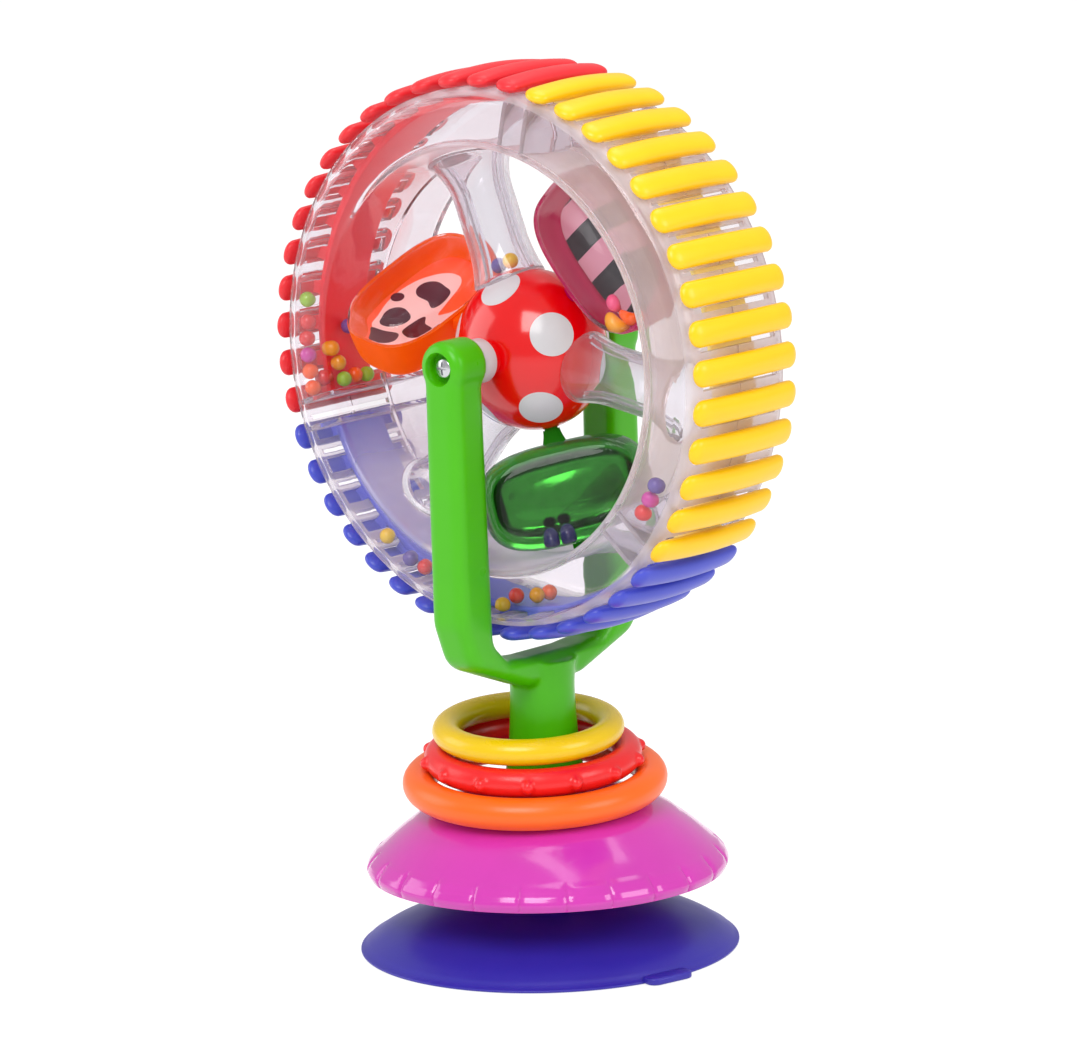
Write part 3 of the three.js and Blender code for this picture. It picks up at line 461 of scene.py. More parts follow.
def rounded(points, steps=5, straight=89, longest_share=0.48):
    """A closed outline whose corners (x, y, radius) are rounded by arcs."""
    out = []
    count = len(points)
    for i, point in enumerate(points):
        p = np.array(point[:2], float)
        radius = point[2] if len(point) > 2 else 0.0
        before = np.array(points[i - 1][:2], float) - p
        after = np.array(points[(i + 1) % count][:2], float) - p
        la, lb = np.linalg.norm(before), np.linalg.norm(after)
        if radius <= 0 or la < 1e-9 or lb < 1e-9:
            out.append(tuple(p))
            continue
        before, after = before / la, after / lb
        half = math.acos(max(-1.0, min(1.0, float(before @ after)))) / 2
        if half > math.radians(straight):
            out.append(tuple(p))
            continue
        reach = min(radius / math.tan(half), longest_share * la, longest_share * lb)
        radius = reach * math.tan(half)
        bisector = before + after
        centre = p + bisector / np.linalg.norm(bisector) * radius / math.sin(half)
        start, end = p + before * reach - centre, p + after * reach - centre
        first = math.atan2(start[1], start[0])
        turn = math.atan2(end[1], end[0]) - first
        turn = (turn + math.pi) % TAU - math.pi
        for k in range(steps + 1):
            a = first + turn * k / steps
            out.append((centre[0] + radius * math.cos(a), centre[1] + radius * math.sin(a)))
    return out


def spline(points, steps=6):
    """A smooth open curve through points."""
    p = [np.array(q, float) for q in points]
    p = [2 * p[0] - p[1]] + p + [2 * p[-1] - p[-2]]
    out = []
    for i in range(1, len(p) - 2):
        for k in range(steps):
            t = k / steps
            out.append(0.5 * (2 * p[i] + (p[i + 1] - p[i - 1]) * t
                              + (2 * p[i - 1] - 5 * p[i] + 4 * p[i + 1] - p[i + 2]) * t ** 2
                              + (3 * p[i] - p[i - 1] - 3 * p[i + 1] + p[i + 2]) * t ** 3))
    return [tuple(q) for q in out] + [tuple(p[-2])]


def circle(count):
    return [TAU * k / count for k in range(count)]


def powered(value, power):
    """A power of a value that keeps its sign."""
    return math.copysign(abs(value) ** power, value)


def lathe(outline, segments, axis="Z", angles=None, offset=None):
    """A closed outline of (radius, height) turned round an axis. offset(row, angle) may move a point."""
    angles = angles or circle(segments)
    verts, faces = [], []
    rows = len(outline)
    for a in angles:
        for row, (radius, height) in enumerate(outline):
            r = radius + (offset(row, a) if offset else 0.0)
            across, along = r * math.cos(a), r * math.sin(a)
            verts.append((across, along, height) if axis == "Z" else (along, height, across))
    count = len(angles)
    for k in range(count):
        here, there = k * rows, (k + 1) % count * rows
        for row in range(rows):
            after = (row + 1) % rows
            faces.append((here + row, here + after, there + after, there + row))
    return verts, faces


def loft(rings, closed_ends=True):
    """A skin over rings of equally many points."""
    count = len(rings[0])
    verts = [tuple(p) for ring in rings for p in ring]
    faces = []
    for row in range(len(rings) - 1):
        for i in range(count):
            j = (i + 1) % count
            faces.append((row * count + i, row * count + j, (row + 1) * count + j, (row + 1) * count + i))
    if closed_ends:
        last = (len(rings) - 1) * count
        faces.append(tuple(range(count))[::-1])
        faces.append(tuple(last + i for i in range(count)))
    return verts, faces


def combined(parts):
    """Several (verts, faces) as one."""
    verts, faces = [], []
    for v, f in parts:
        start = len(verts)
        verts.extend(v)
        faces.extend(tuple(i + start for i in face) for face in f)
    return verts, faces


def moved(shape, matrix):
    verts, faces = shape
    return [tuple(matrix @ Vector(v)) for v in verts], faces


def around(angle):
    """A turn round the axle, in degrees, for a shape made at the top of the wheel."""
    return Matrix.Rotation(math.radians(angle), 4, "Y")


def both_sides(outline, segments):
    """An outline turned round the axle, on the front and on the rear side."""
    return [lathe([(r, y * side) for r, y in outline], segments, "Y") for side in (-1, 1)]


def stack(outline, low, high, edges):
    """A flat outline at several heights, drawn in at each. Its box goes from low to high."""
    centre = (np.array(low) + np.array(high)) / 2
    half = (np.array(high) - np.array(low)) / 2
    rings = []
    for z, inset in edges:
        points = [centre + (np.array(p) - centre) * (half - inset) / half for p in outline]
        rings.append([(p[0], p[1], z) for p in points])
    return loft(rings)


def rectangle(low, high, near=0.0, far=0.0, steps=3):
    """A rectangle's outline, with a corner radius near its low x and one near its high x."""
    (x0, y0), (x1, y1) = low, high
    return rounded([(x0, y0, near), (x1, y0, far), (x1, y1, far), (x0, y1, near)], steps)


def box_shape(low, high, edge):
    """A box with bevelled edges."""
    z0, z1, near = low[2], high[2], edge * BEVEL_SHARE
    outline = rectangle(low[:2], high[:2], edge, edge)
    edges = [(z0, edge), (z0 + near, near), (z0 + edge, 0), (z1 - edge, 0), (z1 - near, near), (z1, edge)]
    return stack(outline, low[:2], high[:2], edges)


def ball_shape(radius, steps=16):
    """A sphere as rings."""
    turns = [math.pi * i / steps for i in range(steps + 1)]
    outline = [(max(radius * math.sin(a), 0.0), -radius * math.cos(a)) for a in turns]
    return lathe(outline, 2 * steps)


# Suction cup and dome


def suction_cup():
    radius, hollow, stud = CUP.radius, CUP.hollow, CUP.stud
    foot = radius - CUP.rim
    top = spline([(r * radius, z * CUP.height) for r, z in CUP_TOP_SHARES])
    under = [(r * radius, z * hollow) for r, z in CUP_UNDER_SHARES]
    under = spline([(foot, 0.0)] + under + [(0.0, hollow)])[1:-1]
    rim = rounded([(foot, 0.0, CUP_CORNERS.foot), (radius, 0.0, CUP_CORNERS.rim),
                   (radius, CUP.edge, CUP_CORNERS.lip)], 3)
    stud_side = [(stud + STUD_FOOT.spread, CUP.height + STUD_FOOT.start),
                 (stud, CUP.height + STUD_FOOT.end), (stud, CUP.stud_top), (0.0, CUP.stud_top)]
    outline = [(0.0, hollow)] + under[::-1] + rim + top + stud_side
    make("cup_skin", lathe(outline, 144), "base", MATERIALS["cup"], ["suction_cup"], sharp=50)


def cup_tab():
    low, high = (CUP.radius - CUP.rim / 2, -TAB.width / 2), (TAB.reach, TAB.width / 2)
    outline = rectangle(low, high, TAB.root_corner, TAB.corner, 6)
    edges = TAB_UNDER_EDGE + [(TAB.thickness - depth, inset) for depth, inset in TAB_TOP_EDGE]
    shape = stack(outline, low, high, edges)
    turn = Matrix.Rotation(math.radians(TAB.angle), 4, "Z")
    make("cup_tab", shape, "base", MATERIALS["cup"], matrix=turn, sharp=60)


def panel_angles():
    """Angles round the dome, close together across each groove."""
    groove = math.radians(GROOVE.angle)
    pitch = TAU / PANELS.count
    wide = 2 * groove
    angles = []
    for k in range(PANELS.count):
        middle = TAU * (k + PANELS.shift) / PANELS.count
        angles += [middle + d for d in (-wide, -groove, 0, groove, wide)]
        angles += [middle + wide + (pitch - 2 * wide) * s / 6 for s in range(1, 6)]
    return angles


def dome():
    radius, rim, top, wall = DOME.radius, DOME.rim, DOME.top, DOME.wall
    tucked = radius - DOME.tuck
    band_top = rim + DOME.band
    skin = [(r * radius, band_top + z * (top - band_top)) for r, z in DOME_SKIN_SHARES]
    outer = spline([(tucked, band_top)] + skin + [(DOME.top_radius, top)])
    band = spline([(tucked, rim), (radius, rim + DOME.band / 2), (tucked, band_top)], 5)[:-1]
    inner = [(r - wall, z - wall) for r, z in outer[:-3]][::-1]
    bore, hole, stud_bore, foot = SOCKET.bore, SOCKET.hole, SOCKET.stud_bore, SOCKET.foot
    outside = bore + SOCKET.wall
    web_top = SOCKET.web_top
    web_foot = web_top - SOCKET.web
    socket = [(bore, top), (bore, web_top), (hole, web_top), (hole, web_foot), (stud_bore, web_foot),
              (stud_bore, foot), (outside, foot), (outside, top - wall)]
    lip = [(radius - wall - DOME_LIP.width, rim + DOME_LIP.height), (radius - wall, rim)]
    outline = band + outer + socket + inner + lip
    outside_rows = len(band) + len(outer)
    groove_reach = GROOVE.reach * math.radians(GROOVE.angle)

    def relief(row, angle):
        """How far a point moves out: the panels lie a little deep, with grooves between them."""
        r, height = outline[row]
        if row >= outside_rows or r < PANELS.inner or height < rim + PANELS.foot:
            return 0.0
        if height > PANELS.top:
            return -PANELS.relief
        share = angle / TAU * PANELS.count - PANELS.shift
        off = abs((share + 0.5) % 1 - 0.5) * TAU / PANELS.count
        return -GROOVE.depth * max(0.0, 1 - off / groove_reach)

    shape = lathe(outline, 0, angles=panel_angles(), offset=relief)
    make("dome_skin", shape, "base", MATERIALS["dome"], ["base_dome"], sharp=40)


# Rings


def ring_matrix(node):
    """A ring's place and slant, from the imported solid."""
    points = np.array([v.co for v in frame["nodes"][node].data.vertices], float)
    middle = points.mean(0)
    axis = np.linalg.svd((points - middle) / MM, full_matrices=False)[2][2]
    axis = axis if axis[2] > 0 else -axis
    turn = Vector((0, 0, 1)).rotation_difference(Vector(axis)).to_matrix().to_4x4()
    return Matrix.Translation(Vector(middle)) @ turn


def torus(colour, around_steps=128, tube_steps=28):
    radius, across, up = RINGS[colour]
    outline = [(radius + across * math.cos(a), up * math.sin(a)) for a in circle(tube_steps)]
    return lathe(outline, around_steps)


def plain_rings():
    for colour in ("orange", "yellow"):
        node = colour + "_ring"
        make(node + "_smooth", torus(colour), node + "_body",
             MATERIALS["ring_" + colour], [node], ring_matrix(node))


def knobbed_ring():
    """The red ring, with a row of knobs round its outside."""
    parts = [torus("red", 112, 20)]
    for angle in circle(KNOBS.count):
        at = Matrix.Rotation(angle, 4, "Z") @ Matrix.Translation((KNOBS.reach, 0, 0))
        parts.append(moved(ball_shape(KNOBS.radius, 8), at))
    mesh = melted(combined(parts), 0.55, 6)
    mesh.transform(ring_matrix("red_ring"))
    look = MATERIALS["ring_red"]
    piece("red_ring_smooth", mesh, "red_ring_body", look, ["red_ring"], sharp=180)


# Fork, axle and screws

arm_outer = ARM.inner + ARM.thickness


def on_both_arms(shape):
    """A shape round the Y axis, on the axle of the one arm and, turned about, of the other."""
    lift = Matrix.Translation((0, 0, AXLE_HEIGHT))
    return [moved(shape, lift), moved(shape, lift @ Matrix.Rotation(math.pi, 4, "Z"))]


def yoke_shape():
    """The two arms and what joins them: one outline with rounded edges all round."""
    half = [YOKE.foot, (arm_outer - YOKE.knee_inset,) + YOKE.knee, (arm_outer,) + YOKE.shoulder,
            (arm_outer, AXLE_HEIGHT), (ARM.inner, AXLE_HEIGHT),
            (ARM.root_inner,) + YOKE.inner_shoulder, YOKE.crotch, YOKE.middle]
    left = [(-p[0],) + tuple(p[1:]) for p in half][::-1]
    flat = np.array(rounded(half + left, 6))
    ahead, behind = np.roll(flat, -1, 0), np.roll(flat, 1, 0)
    tangent = ahead - behind
    lengths = np.linalg.norm(tangent, axis=1)
    lengths[lengths == 0] = 1
    normal = np.stack([tangent[:, 1], -tangent[:, 0]], 1) / lengths[:, None]
    area = 0.5 * np.sum(flat[:, 0] * ahead[:, 1] - ahead[:, 0] * flat[:, 1])
    normal *= 1 if area > 0 else -1
    depth, edge = ARM.width / 2, ARM.edge
    quarter = [math.pi / 2 * k / 6 for k in range(7)]
    edges = [(-depth + edge * (1 - math.sin(a)), edge * (1 - math.cos(a))) for a in quarter]
    edges = sorted(edges + [(-x, inset) for x, inset in edges])
    return loft([[(x, p[0], p[1]) for p in flat - normal * inset] for x, inset in edges])


def stem_shape():
    curve = [(0.0, STEM_CURVE[0][1])] + spline(STEM_CURVE, 8) + [(0.0, STEM_CURVE[-1][1])]
    spigot = rectangle((0.0, SPIGOT.foot), (SPIGOT.radius, SPIGOT.top))
    return combined([lathe(curve, 64), lathe(spigot, 48)])


def fork_cutters():
    """The seats of the axle's ends, the screws' holes and counterbores, and the hole in the stem."""
    seat, radius = AXLE_SEAT.radius, COUNTERBORE.radius
    start, stop = ARM.inner - AXLE_SEAT.reach, ARM.inner + AXLE_SEAT.reach
    wide = radius + COUNTERBORE.bevel
    floor = arm_outer - COUNTERBORE.depth
    end = arm_outer + COUNTERBORE.overrun
    through = [(0.0, start), (seat, start), (seat, stop), (SCREW_BORE, stop),
               (SCREW_BORE, floor), (radius, floor), (radius, arm_outer - COUNTERBORE.bevel_depth),
               (wide, arm_outer + COUNTERBORE.over), (wide, end), (0.0, end)]
    stem_hole = rectangle((0.0, STEM_HOLE.foot), (SCREW_BORE, STEM_HOLE.top))
    return on_both_arms(lathe(through, 48, "Y")) + [lathe(stem_hole, 24)]


def fork():
    radius = ARM_BOSS.radius
    boss = rounded([(0.0, ARM.inner), (radius, ARM.inner, ARM_BOSS.root),
                    (radius, arm_outer, ARM_BOSS.edge), (0.0, arm_outer)], 6)
    shape = combined([yoke_shape()] + on_both_arms(lathe(boss, 48, "Y")) + [stem_shape()])
    mesh = carved(in_scene("scratch", melted(shape, 0.75, 8)), fork_cutters())
    piece("fork_skin", mesh, "base", MATERIALS["fork"], ["fork"], sharp=45)


def screws():
    shank, head, length, top = SCREW.shank, SCREW.head, SCREW.length, SCREW.height
    outline = [(0.0, -length), (shank, -length, SCREW.tip), (shank, 0.0), (head, 0.0, SCREW.under),
               (head, top * SCREW.side_share, SCREW.edge), (0.0, top)]
    shape = lathe(rounded(outline), 40)
    low, high = top - CROSS.depth, top + CROSS.overrun
    long, short = CROSS.reach, CROSS.half_width
    cross = [box_shape((-x, -y, low), (x, y, high), CROSS.edge) for x, y in ((long, short), (short, long))]
    seat = arm_outer - COUNTERBORE.depth + CLEARANCE
    for side, turn in (("front", math.pi / 2), ("rear", -math.pi / 2)):
        mesh = carved(scratch(shape), cross)
        mesh.transform(wheel_centre @ Matrix.Rotation(turn, 4, "X") @ Matrix.Translation((0, 0, seat * MM)))
        node = "axle_screw_" + side
        piece(node + "_smooth", mesh, "base", MATERIALS["steel"], [node])


def axle_rod():
    end = ARM.inner + ROD.reach
    shape = lathe(rectangle((0.0, -end), (ROD.radius, end), 0.0, ROD.edge), 40, "Y")
    make("axle_rod_smooth", shape, "base", MATERIALS["steel"], ["axle_rod"], wheel_centre)


# Rim


def rim_profiles():
    """The rim half's outside and inside, row by row from the bore's seam to the outer wall's seam."""
    wall, half, shoulder = RIM.wall, RIM.half, RIM.shoulder
    outer, bore, draft = RIM.outer, RIM.bore, RIM.draft
    corner, inner_corner = RIM.corner, RIM.inner_corner
    rows_out, rows_in = [], []
    for i in range(BORE_ROWS + 1):
        t = i / BORE_ROWS
        rows_out.append((bore + draft * t, SEAM + (half - corner - SEAM) * t))
        rows_in.append((bore + wall + draft * t, SEAM + (half - wall - inner_corner - SEAM) * t))
    for k in (1, 2, 3):
        rise, spread = math.sin(math.pi / 2 * k / 3), 1 - math.cos(math.pi / 2 * k / 3)
        rows_out.append((bore + draft + corner * spread, half - corner + corner * rise))
        rows_in.append((bore + draft + wall + inner_corner * spread,
                        half - wall - inner_corner + inner_corner * rise))
    face_start = bore + draft + corner
    for t in FACE_SHARES:
        r = face_start + (outer - shoulder - face_start) * t
        rows_out.append((r, half))
        rows_in.append((r - RIM.inner_slope * t, half - wall))
    inner = shoulder - wall
    for k in range(1, 7):
        across, rise = math.sin(math.pi / 2 * k / 6), math.cos(math.pi / 2 * k / 6)
        rows_out.append((outer - shoulder + shoulder * across, half - shoulder + shoulder * rise))
        rows_in.append((outer - shoulder + inner * across, half - shoulder + inner * rise))
    for y in (SLOT.half_length,) + OUTER_ROWS + (SEAM,):
        rows_out.append((outer, y))
        rows_in.append((outer - wall, y))
    return rows_out, rows_in


def off_spoke(angle):
    """The angle to the nearest spoke's axis, in degrees."""
    spokes = [THIRD * k - SPOKE.lead for k in range(3)]
    return min(((angle - spoke + 180) % 360 - 180 for spoke in spokes), key=abs)


def rim_shell(side):
    """One half of the hollow rim, with its slots and the round holes for the spokes."""
    rows_out, rows_in = rim_profiles()
    slot_half = math.degrees(SLOT.width / 2 / RIM.outer)
    far_turn, near_turn = COLUMN_TURNS
    steps = (-far_turn, -near_turn, -slot_half, -slot_half / 3, slot_half / 3, slot_half, near_turn)
    columns = [RIB_PITCH * (k + 0.5) + s for k in range(RIB_COUNT) for s in steps]
    first_slot_row = rows_out.index((RIM.outer, SLOT.half_length))
    count, rows = len(columns), len(rows_out)
    hole_radius = SPOKE.flare - SPOKE.wall * SPOKE.hole_share

    def hole(row, column):
        if row >= first_slot_row:
            middle = (steps[column % len(steps)] + steps[(column + 1) % len(steps)]) / 2
            return abs(middle) < slot_half
        if row >= BORE_ROWS:
            return False
        r = (rows_out[row][0] + rows_out[row + 1][0]) / 2
        y = (rows_out[row][1] + rows_out[row + 1][1]) / 2
        off = off_spoke((columns[column] + columns[(column + 1) % count]) / 2)
        return abs(off) < SPOKE.sector and math.hypot(r * math.sin(math.radians(off)), y) < hole_radius

    solid = [[not hole(row, col) for col in range(count)] for row in range(rows - 1)]

    def placed(row, col, profile):
        """A vertex of the grid; one on the border of a spoke's hole goes onto its circle."""
        r, y = profile[row]
        angle = columns[col]
        if row <= BORE_ROWS:
            near = [solid[k][c] for k in (row - 1, row) for c in (col - 1, col) if k >= 0]
            off = off_spoke(angle)
            across = r * math.sin(math.radians(off))
            if abs(off) < SPOKE.sector and any(near) and not all(near):
                far = math.hypot(across, y)
                if row == 0:
                    across = math.copysign(math.sqrt(hole_radius ** 2 - y ** 2), across)
                else:
                    across, y = across * hole_radius / far, y * hole_radius / far
                angle += math.degrees(math.asin(across / r)) - off
        return r * math.sin(math.radians(angle)), y * side, r * math.cos(math.radians(angle))

    verts = []
    for col in range(count):
        verts += [placed(row, col, rows_out) for row in range(rows)]
        verts += [placed(row, col, rows_in) for row in range(rows)]
    faces = []

    def at(row, col, inside):
        return (col % count) * 2 * rows + row + (rows if inside else 0)

    for row in range(rows - 1):
        for col in range(count):
            if not solid[row][col]:
                continue
            corners = ((row, col), (row + 1, col), (row + 1, col + 1), (row, col + 1))
            faces.append(tuple(at(r, c, False) for r, c in corners))
            faces.append(tuple(at(r, c, True) for r, c in corners[::-1]))
            for near, edge in (
                (row > 0 and solid[row - 1][col], ((row, col), (row, col + 1))),
                (row < rows - 2 and solid[row + 1][col], ((row + 1, col + 1), (row + 1, col))),
                (solid[row][col - 1], ((row + 1, col), (row, col))),
                (solid[row][(col + 1) % count], ((row, col + 1), (row + 1, col + 1))),
            ):
                if not near:
                    (r0, c0), (r1, c1) = edge
                    faces.append((at(r0, c0, False), at(r1, c1, False), at(r1, c1, True), at(r0, c0, True)))
    return verts, faces


# Spokes


def spoke_radius(z):
    """The outside radius of a spoke at a distance from the axle."""
    foot_start = math.sqrt(BALL.radius ** 2 - SPOKE.foot ** 2)
    foot_end = BALL.radius + SPOKE.radius
    flare_start = RIM.bore - SPOKE.flare
    r = SPOKE.radius
    if z < foot_end:
        share = (foot_end - z) / (foot_end - foot_start)
        r += (SPOKE.foot - SPOKE.radius) * min(1, share) ** 2
    if z > flare_start:
        share = (z - flare_start) / (RIM.bore - flare_start)
        r += (SPOKE.flare - SPOKE.radius) * min(1, share) ** 2
    return r


def on_ball(x, y):
    """How far out the ball's surface is over a point, with a gap."""
    flat = 1 - (x / BALL.radius) ** 2 - (y / BALL.half_width) ** 2
    return BALL.radius * math.sqrt(max(0.0, flat)) + SPOKE.ball_gap


def on_bore(x, y):
    """How far out the rim's bore is over a point, with a gap."""
    radius = RIM.bore + RIM.draft * abs(y) / RIM.half - CLEARANCE
    return math.sqrt(max(0.0, radius ** 2 - x ** 2))


def spoke_shape():
    """A hollow spoke at the top of the wheel, flared to the ball and to the rim, with its two seam ribs."""
    start = math.sqrt(BALL.radius ** 2 - SPOKE.foot ** 2) + SPOKE.foot_lift
    end = RIM.bore - SPOKE.end_drop
    heights = [start + (end - start) * k / 40 for k in range(41)]
    rows = [(z, SPOKE.lip, (z - start) / (end - start)) for z in heights]
    rows = [(start, 0, 0)] + rows + [(end + SPOKE.foot_lift, 0, 1)]

    def skin(wall):
        """Rings from the ball's surface to the bore's."""
        rings = []
        for z, gap, share in rows:
            r = spoke_radius(z) - wall
            ring = []
            for a in circle(64):
                x, y = r * math.cos(a), r * math.sin(a)
                low, high = on_ball(x, y) + gap, on_bore(x, y) - gap
                ring.append((x, y, low + (high - low) * share))
            rings.append(ring)
        return rings

    loop = skin(0) + skin(SPOKE.wall)[::-1]
    parts = [loft(loop + [loop[0]], False)]
    half = SPOKE_SEAM.half_width
    for side in (-1, 1):
        strip = []
        for z in heights:
            outer = spoke_radius(z) - SPOKE.wall * SPOKE_SEAM.sink_share
            inner = outer - SPOKE_SEAM.depth
            strip.append([(side * outer, -half, z), (side * outer, half, z), (side * inner, half, z),
                          (side * inner, -half, z)])
        parts.append(loft(strip))
    return combined(parts)


# Treads


def rib_shape():
    """A smooth crowned bar with round ends, at the top of the wheel."""
    seat = RIM.outer + RIB.seat_gap
    half = RIB.half_width
    tip = RIB.half_length + half * RIB.tip_share
    round_length = half * RIB.round_share
    quarter = [math.pi / 2 * k / 8 for k in range(9)]
    ends = [(-tip + round_length * (1 - math.cos(a)), math.sin(a)) for a in quarter]
    span = tip - round_length
    stations = ends + [(-span + 2 * span * k / 14, 1.0) for k in range(1, 14)]
    stations += [(-y, size) for y, size in ends[::-1]]
    rings = []
    for y, size in stations:
        top = RIB.end + RIB.crown * (1 - (y / tip) ** 2)
        height = top - seat
        middle = seat + height / 2
        size = max(size, RIB.smallest)
        ring = []
        for a in circle(20):
            x = powered(math.cos(a), RIB.side_power)
            lift = powered(math.sin(a), RIB.top_power)
            ring.append((x * half * size, y, middle + lift * height / 2 * size))
        rings.append(ring)
    return loft(rings)


def band_shape(sector, outer):
    """The arc inside the rim that a sector's ribs stand on."""
    inner = outer - BAND.thickness
    half, corner = BAND.half_width, BAND.corner
    gap = math.degrees((PARTITION.thickness / 2 + CLEARANCE) / inner)
    first, last = sector * THIRD + gap, (sector + 1) * THIRD - gap
    section = rectangle((inner, -half), (outer, half), corner, corner)
    rings = []
    for k in range(61):
        a = math.radians(first + (last - first) * k / 60)
        rings.append([(r * math.sin(a), y, r * math.cos(a)) for r, y in section])
    return loft(rings)


def tread(colour, sector):
    outer = RIM.outer - RIM.wall - CLEARANCE
    half_width, half_length = SLOT.width / 2 - CLEARANCE, BAND.half_width - CLEARANCE
    root = box_shape((-half_width, -half_length, outer - ROOT.sink),
                     (half_width, half_length, RIM.outer + ROOT.rise), ROOT.edge)
    rib = rib_shape()
    count = RIB_COUNT // 3
    turns = [around(sector * THIRD + (i + 0.5) * RIB_PITCH) for i in range(count)]
    ribs = combined([moved(rib, turn) for turn in turns])
    roots = combined([band_shape(sector, outer)] + [moved(root, turn) for turn in turns])
    make(colour + "_ribs", ribs, "wheel", MATERIALS["rib_" + colour], [colour + "_tread"],
         wheel_matrix, sharp=60)
    # The band's paler copy of the rib colour is painted light against the shade between the ribs
    make(colour + "_band", roots, "wheel", MATERIALS["band_" + colour], matrix=wheel_matrix, sharp=40)


# Wheel


def partitions(side):
    """The three double walls between the rim's compartments, in one half of the rim."""
    half, wall, gap = PARTITION.thickness / 2, PARTITION.wall, PARTITION.gap
    foot = RIM.bore + RIM.wall + PARTITION.foot_gap
    top = RIM.outer - RIM.wall - gap
    deep = RIM.half - RIM.wall - gap
    low, high = (SEAM, deep) if side > 0 else (-deep, -SEAM)
    slabs = [box_shape((x, low, foot), (x + wall, high, top), PARTITION.edge) for x in (-half, half - wall)]
    return combined([moved(slab, around(THIRD * k)) for k in range(3) for slab in slabs])


def wheel():
    thin = MATERIALS["clear_thin"]
    for name, side in (("front", -1), ("rear", 1)):
        make(f"rim_{name}", rim_shell(side), "wheel", MATERIALS["clear"], [f"wheel_{name}_shell"],
             wheel_matrix, sharp=40, weld=False)
        make(f"partitions_{name}", partitions(side), "wheel", thin, matrix=wheel_matrix)
    for k, place in enumerate(("top", "right", "lower")):
        turn = wheel_matrix @ around(THIRD * k - SPOKE.lead)
        node = place + "_spoke"
        make(node + "_tube", spoke_shape(), "wheel", thin, [node], turn, sharp=50)
    for sector, colour in enumerate(("yellow", "blue", "red")):
        tread(colour, sector)


# Ball


def ball_point(direction, lift):
    """The ball's surface in a direction from its centre, and a lift further out."""
    r, w = BALL.radius, BALL.half_width
    scale = 1 / math.sqrt((direction[0] ** 2 + direction[2] ** 2) / r ** 2 + direction[1] ** 2 / w ** 2)
    point = direction * scale
    return tuple(point * (1 + lift / np.linalg.norm(point)))


def dot_cap(centre):
    """A thin round patch on the ball, with a rim that goes under its skin."""
    u = np.cross(centre, (0.0, 1.0, 0.0))
    u /= np.linalg.norm(u)
    v = np.cross(centre, u)
    radius, least, lift, sink = DOT.radius, DOT.least, DOT.lift, DOT.sink
    rings = []
    for r, up in ((least, lift), (radius / 3, lift), (radius * 2 / 3, lift), (radius - DOT.edge, lift),
                  (radius, sink), (least, sink)):
        spread = r / DOT.arm
        rings.append([ball_point(centre + (u * math.cos(a) + v * math.sin(a)) * spread, up)
                         for a in circle(48)])
    return loft(rings)


def ball_dots():
    """A ring of dots on each side of the ball's seam."""
    up = math.radians(DOT.latitude)
    flat = math.cos(up)
    caps = []
    for side, start in ((-1, DOT.turn), (1, DOT.turn + DOT.rear_turn)):
        for k in range(DOT.count):
            turn = math.radians(start + 360 / DOT.count * k)
            centre = (flat * math.sin(turn), side * math.sin(up), flat * math.cos(turn))
            caps.append(dot_cap(np.array(centre)))
    return combined(caps)


def ball():
    r, w, boss = BALL.radius - BALL.inset, BALL.half_width, BALL.boss
    last = math.acos(boss / BALL.radius)
    end = ARM.inner - CLEARANCE
    bore = ROD.radius + CLEARANCE
    seam = BALL.seam
    turns = [last * k / 20 for k in range(21)]
    curve = [(r * math.cos(a), max(w * math.sin(a), seam)) for a in turns]
    outline = [(bore, seam)] + curve + [(boss, end - BALL.boss_edge), (boss - BALL.boss_edge, end),
                                        (bore, end)]
    for name, shape in zip(("front", "rear"), both_sides(outline, 96)):
        make(f"ball_{name}", shape, "wheel", MATERIALS["ball"], [f"hub_{name}_shell"],
             wheel_matrix, sharp=45)
    white = MATERIALS["ball_dot"]
    make("ball_dots", ball_dots(), "wheel", white, matrix=wheel_matrix, sharp=60)
    low, high = (bore, COLLAR.start), (COLLAR.radius, end - COLLAR.gap)
    collars = combined(both_sides(rectangle(low, high, 0.0, COLLAR.edge, 4), 64))
    make("ball_collars", collars, "wheel", white, matrix=wheel_matrix, sharp=50)


# Pods


def pod_ring(inset, y):
    """A pod's rounded outline, drawn in by an inset."""
    power = POD.corner
    length, width = POD.half_length - inset, POD.half_width - inset
    out = []
    for a in circle(POD_POINTS):
        out.append((length * powered(math.cos(a), power), y, width * powered(math.sin(a), power)))
    return out


def bowl(depth, sign, start):
    """A thin bowl of the pod's outline, from y = start towards sign."""
    length, wall = POD.half_length, POD.wall
    curve = spline(BOWL_SHARES, 3)
    path = [(inset * length, y * depth) for inset, y in curve]
    path += [(inset * length + wall, y * (depth - wall)) for inset, y in curve[::-1]]
    rings = [pod_ring(inset, start + sign * y) for inset, y in path]
    verts, faces = loft(rings + [rings[0]], False)
    outside, inside = (len(curve) - 1) * POD_POINTS, len(curve) * POD_POINTS
    faces = [f for f in faces if min(f) < outside or max(f) >= inside + POD_POINTS]
    faces.append(tuple(outside + i for i in range(POD_POINTS)))
    faces.append(tuple(inside + i for i in range(POD_POINTS))[::-1])
    return verts, faces


def neck_shape(tip):
    """The tray's tapered neck, from the ball to the tray's end wall."""
    foot = POD.wall - POD.half_length
    deep, corner = NECK.half_depth, NECK.corner
    rings = []
    for k in range(6):
        x = tip + (foot - tip) * k / 5
        half = NECK.half_width + NECK.spread * (k / 5) ** NECK.power
        outline = rectangle((-half, -deep), (half, deep), corner, corner, 4)
        rings.append([(x, b, a) for a, b in outline])
    return loft(rings)


def pin_shape(start, end):
    around_pin = [(PIN.radius * math.cos(a), PIN.radius * math.sin(a)) for a in circle(24)]
    return loft([[(x, y, z) for y, z in around_pin] for x in (start, end)])


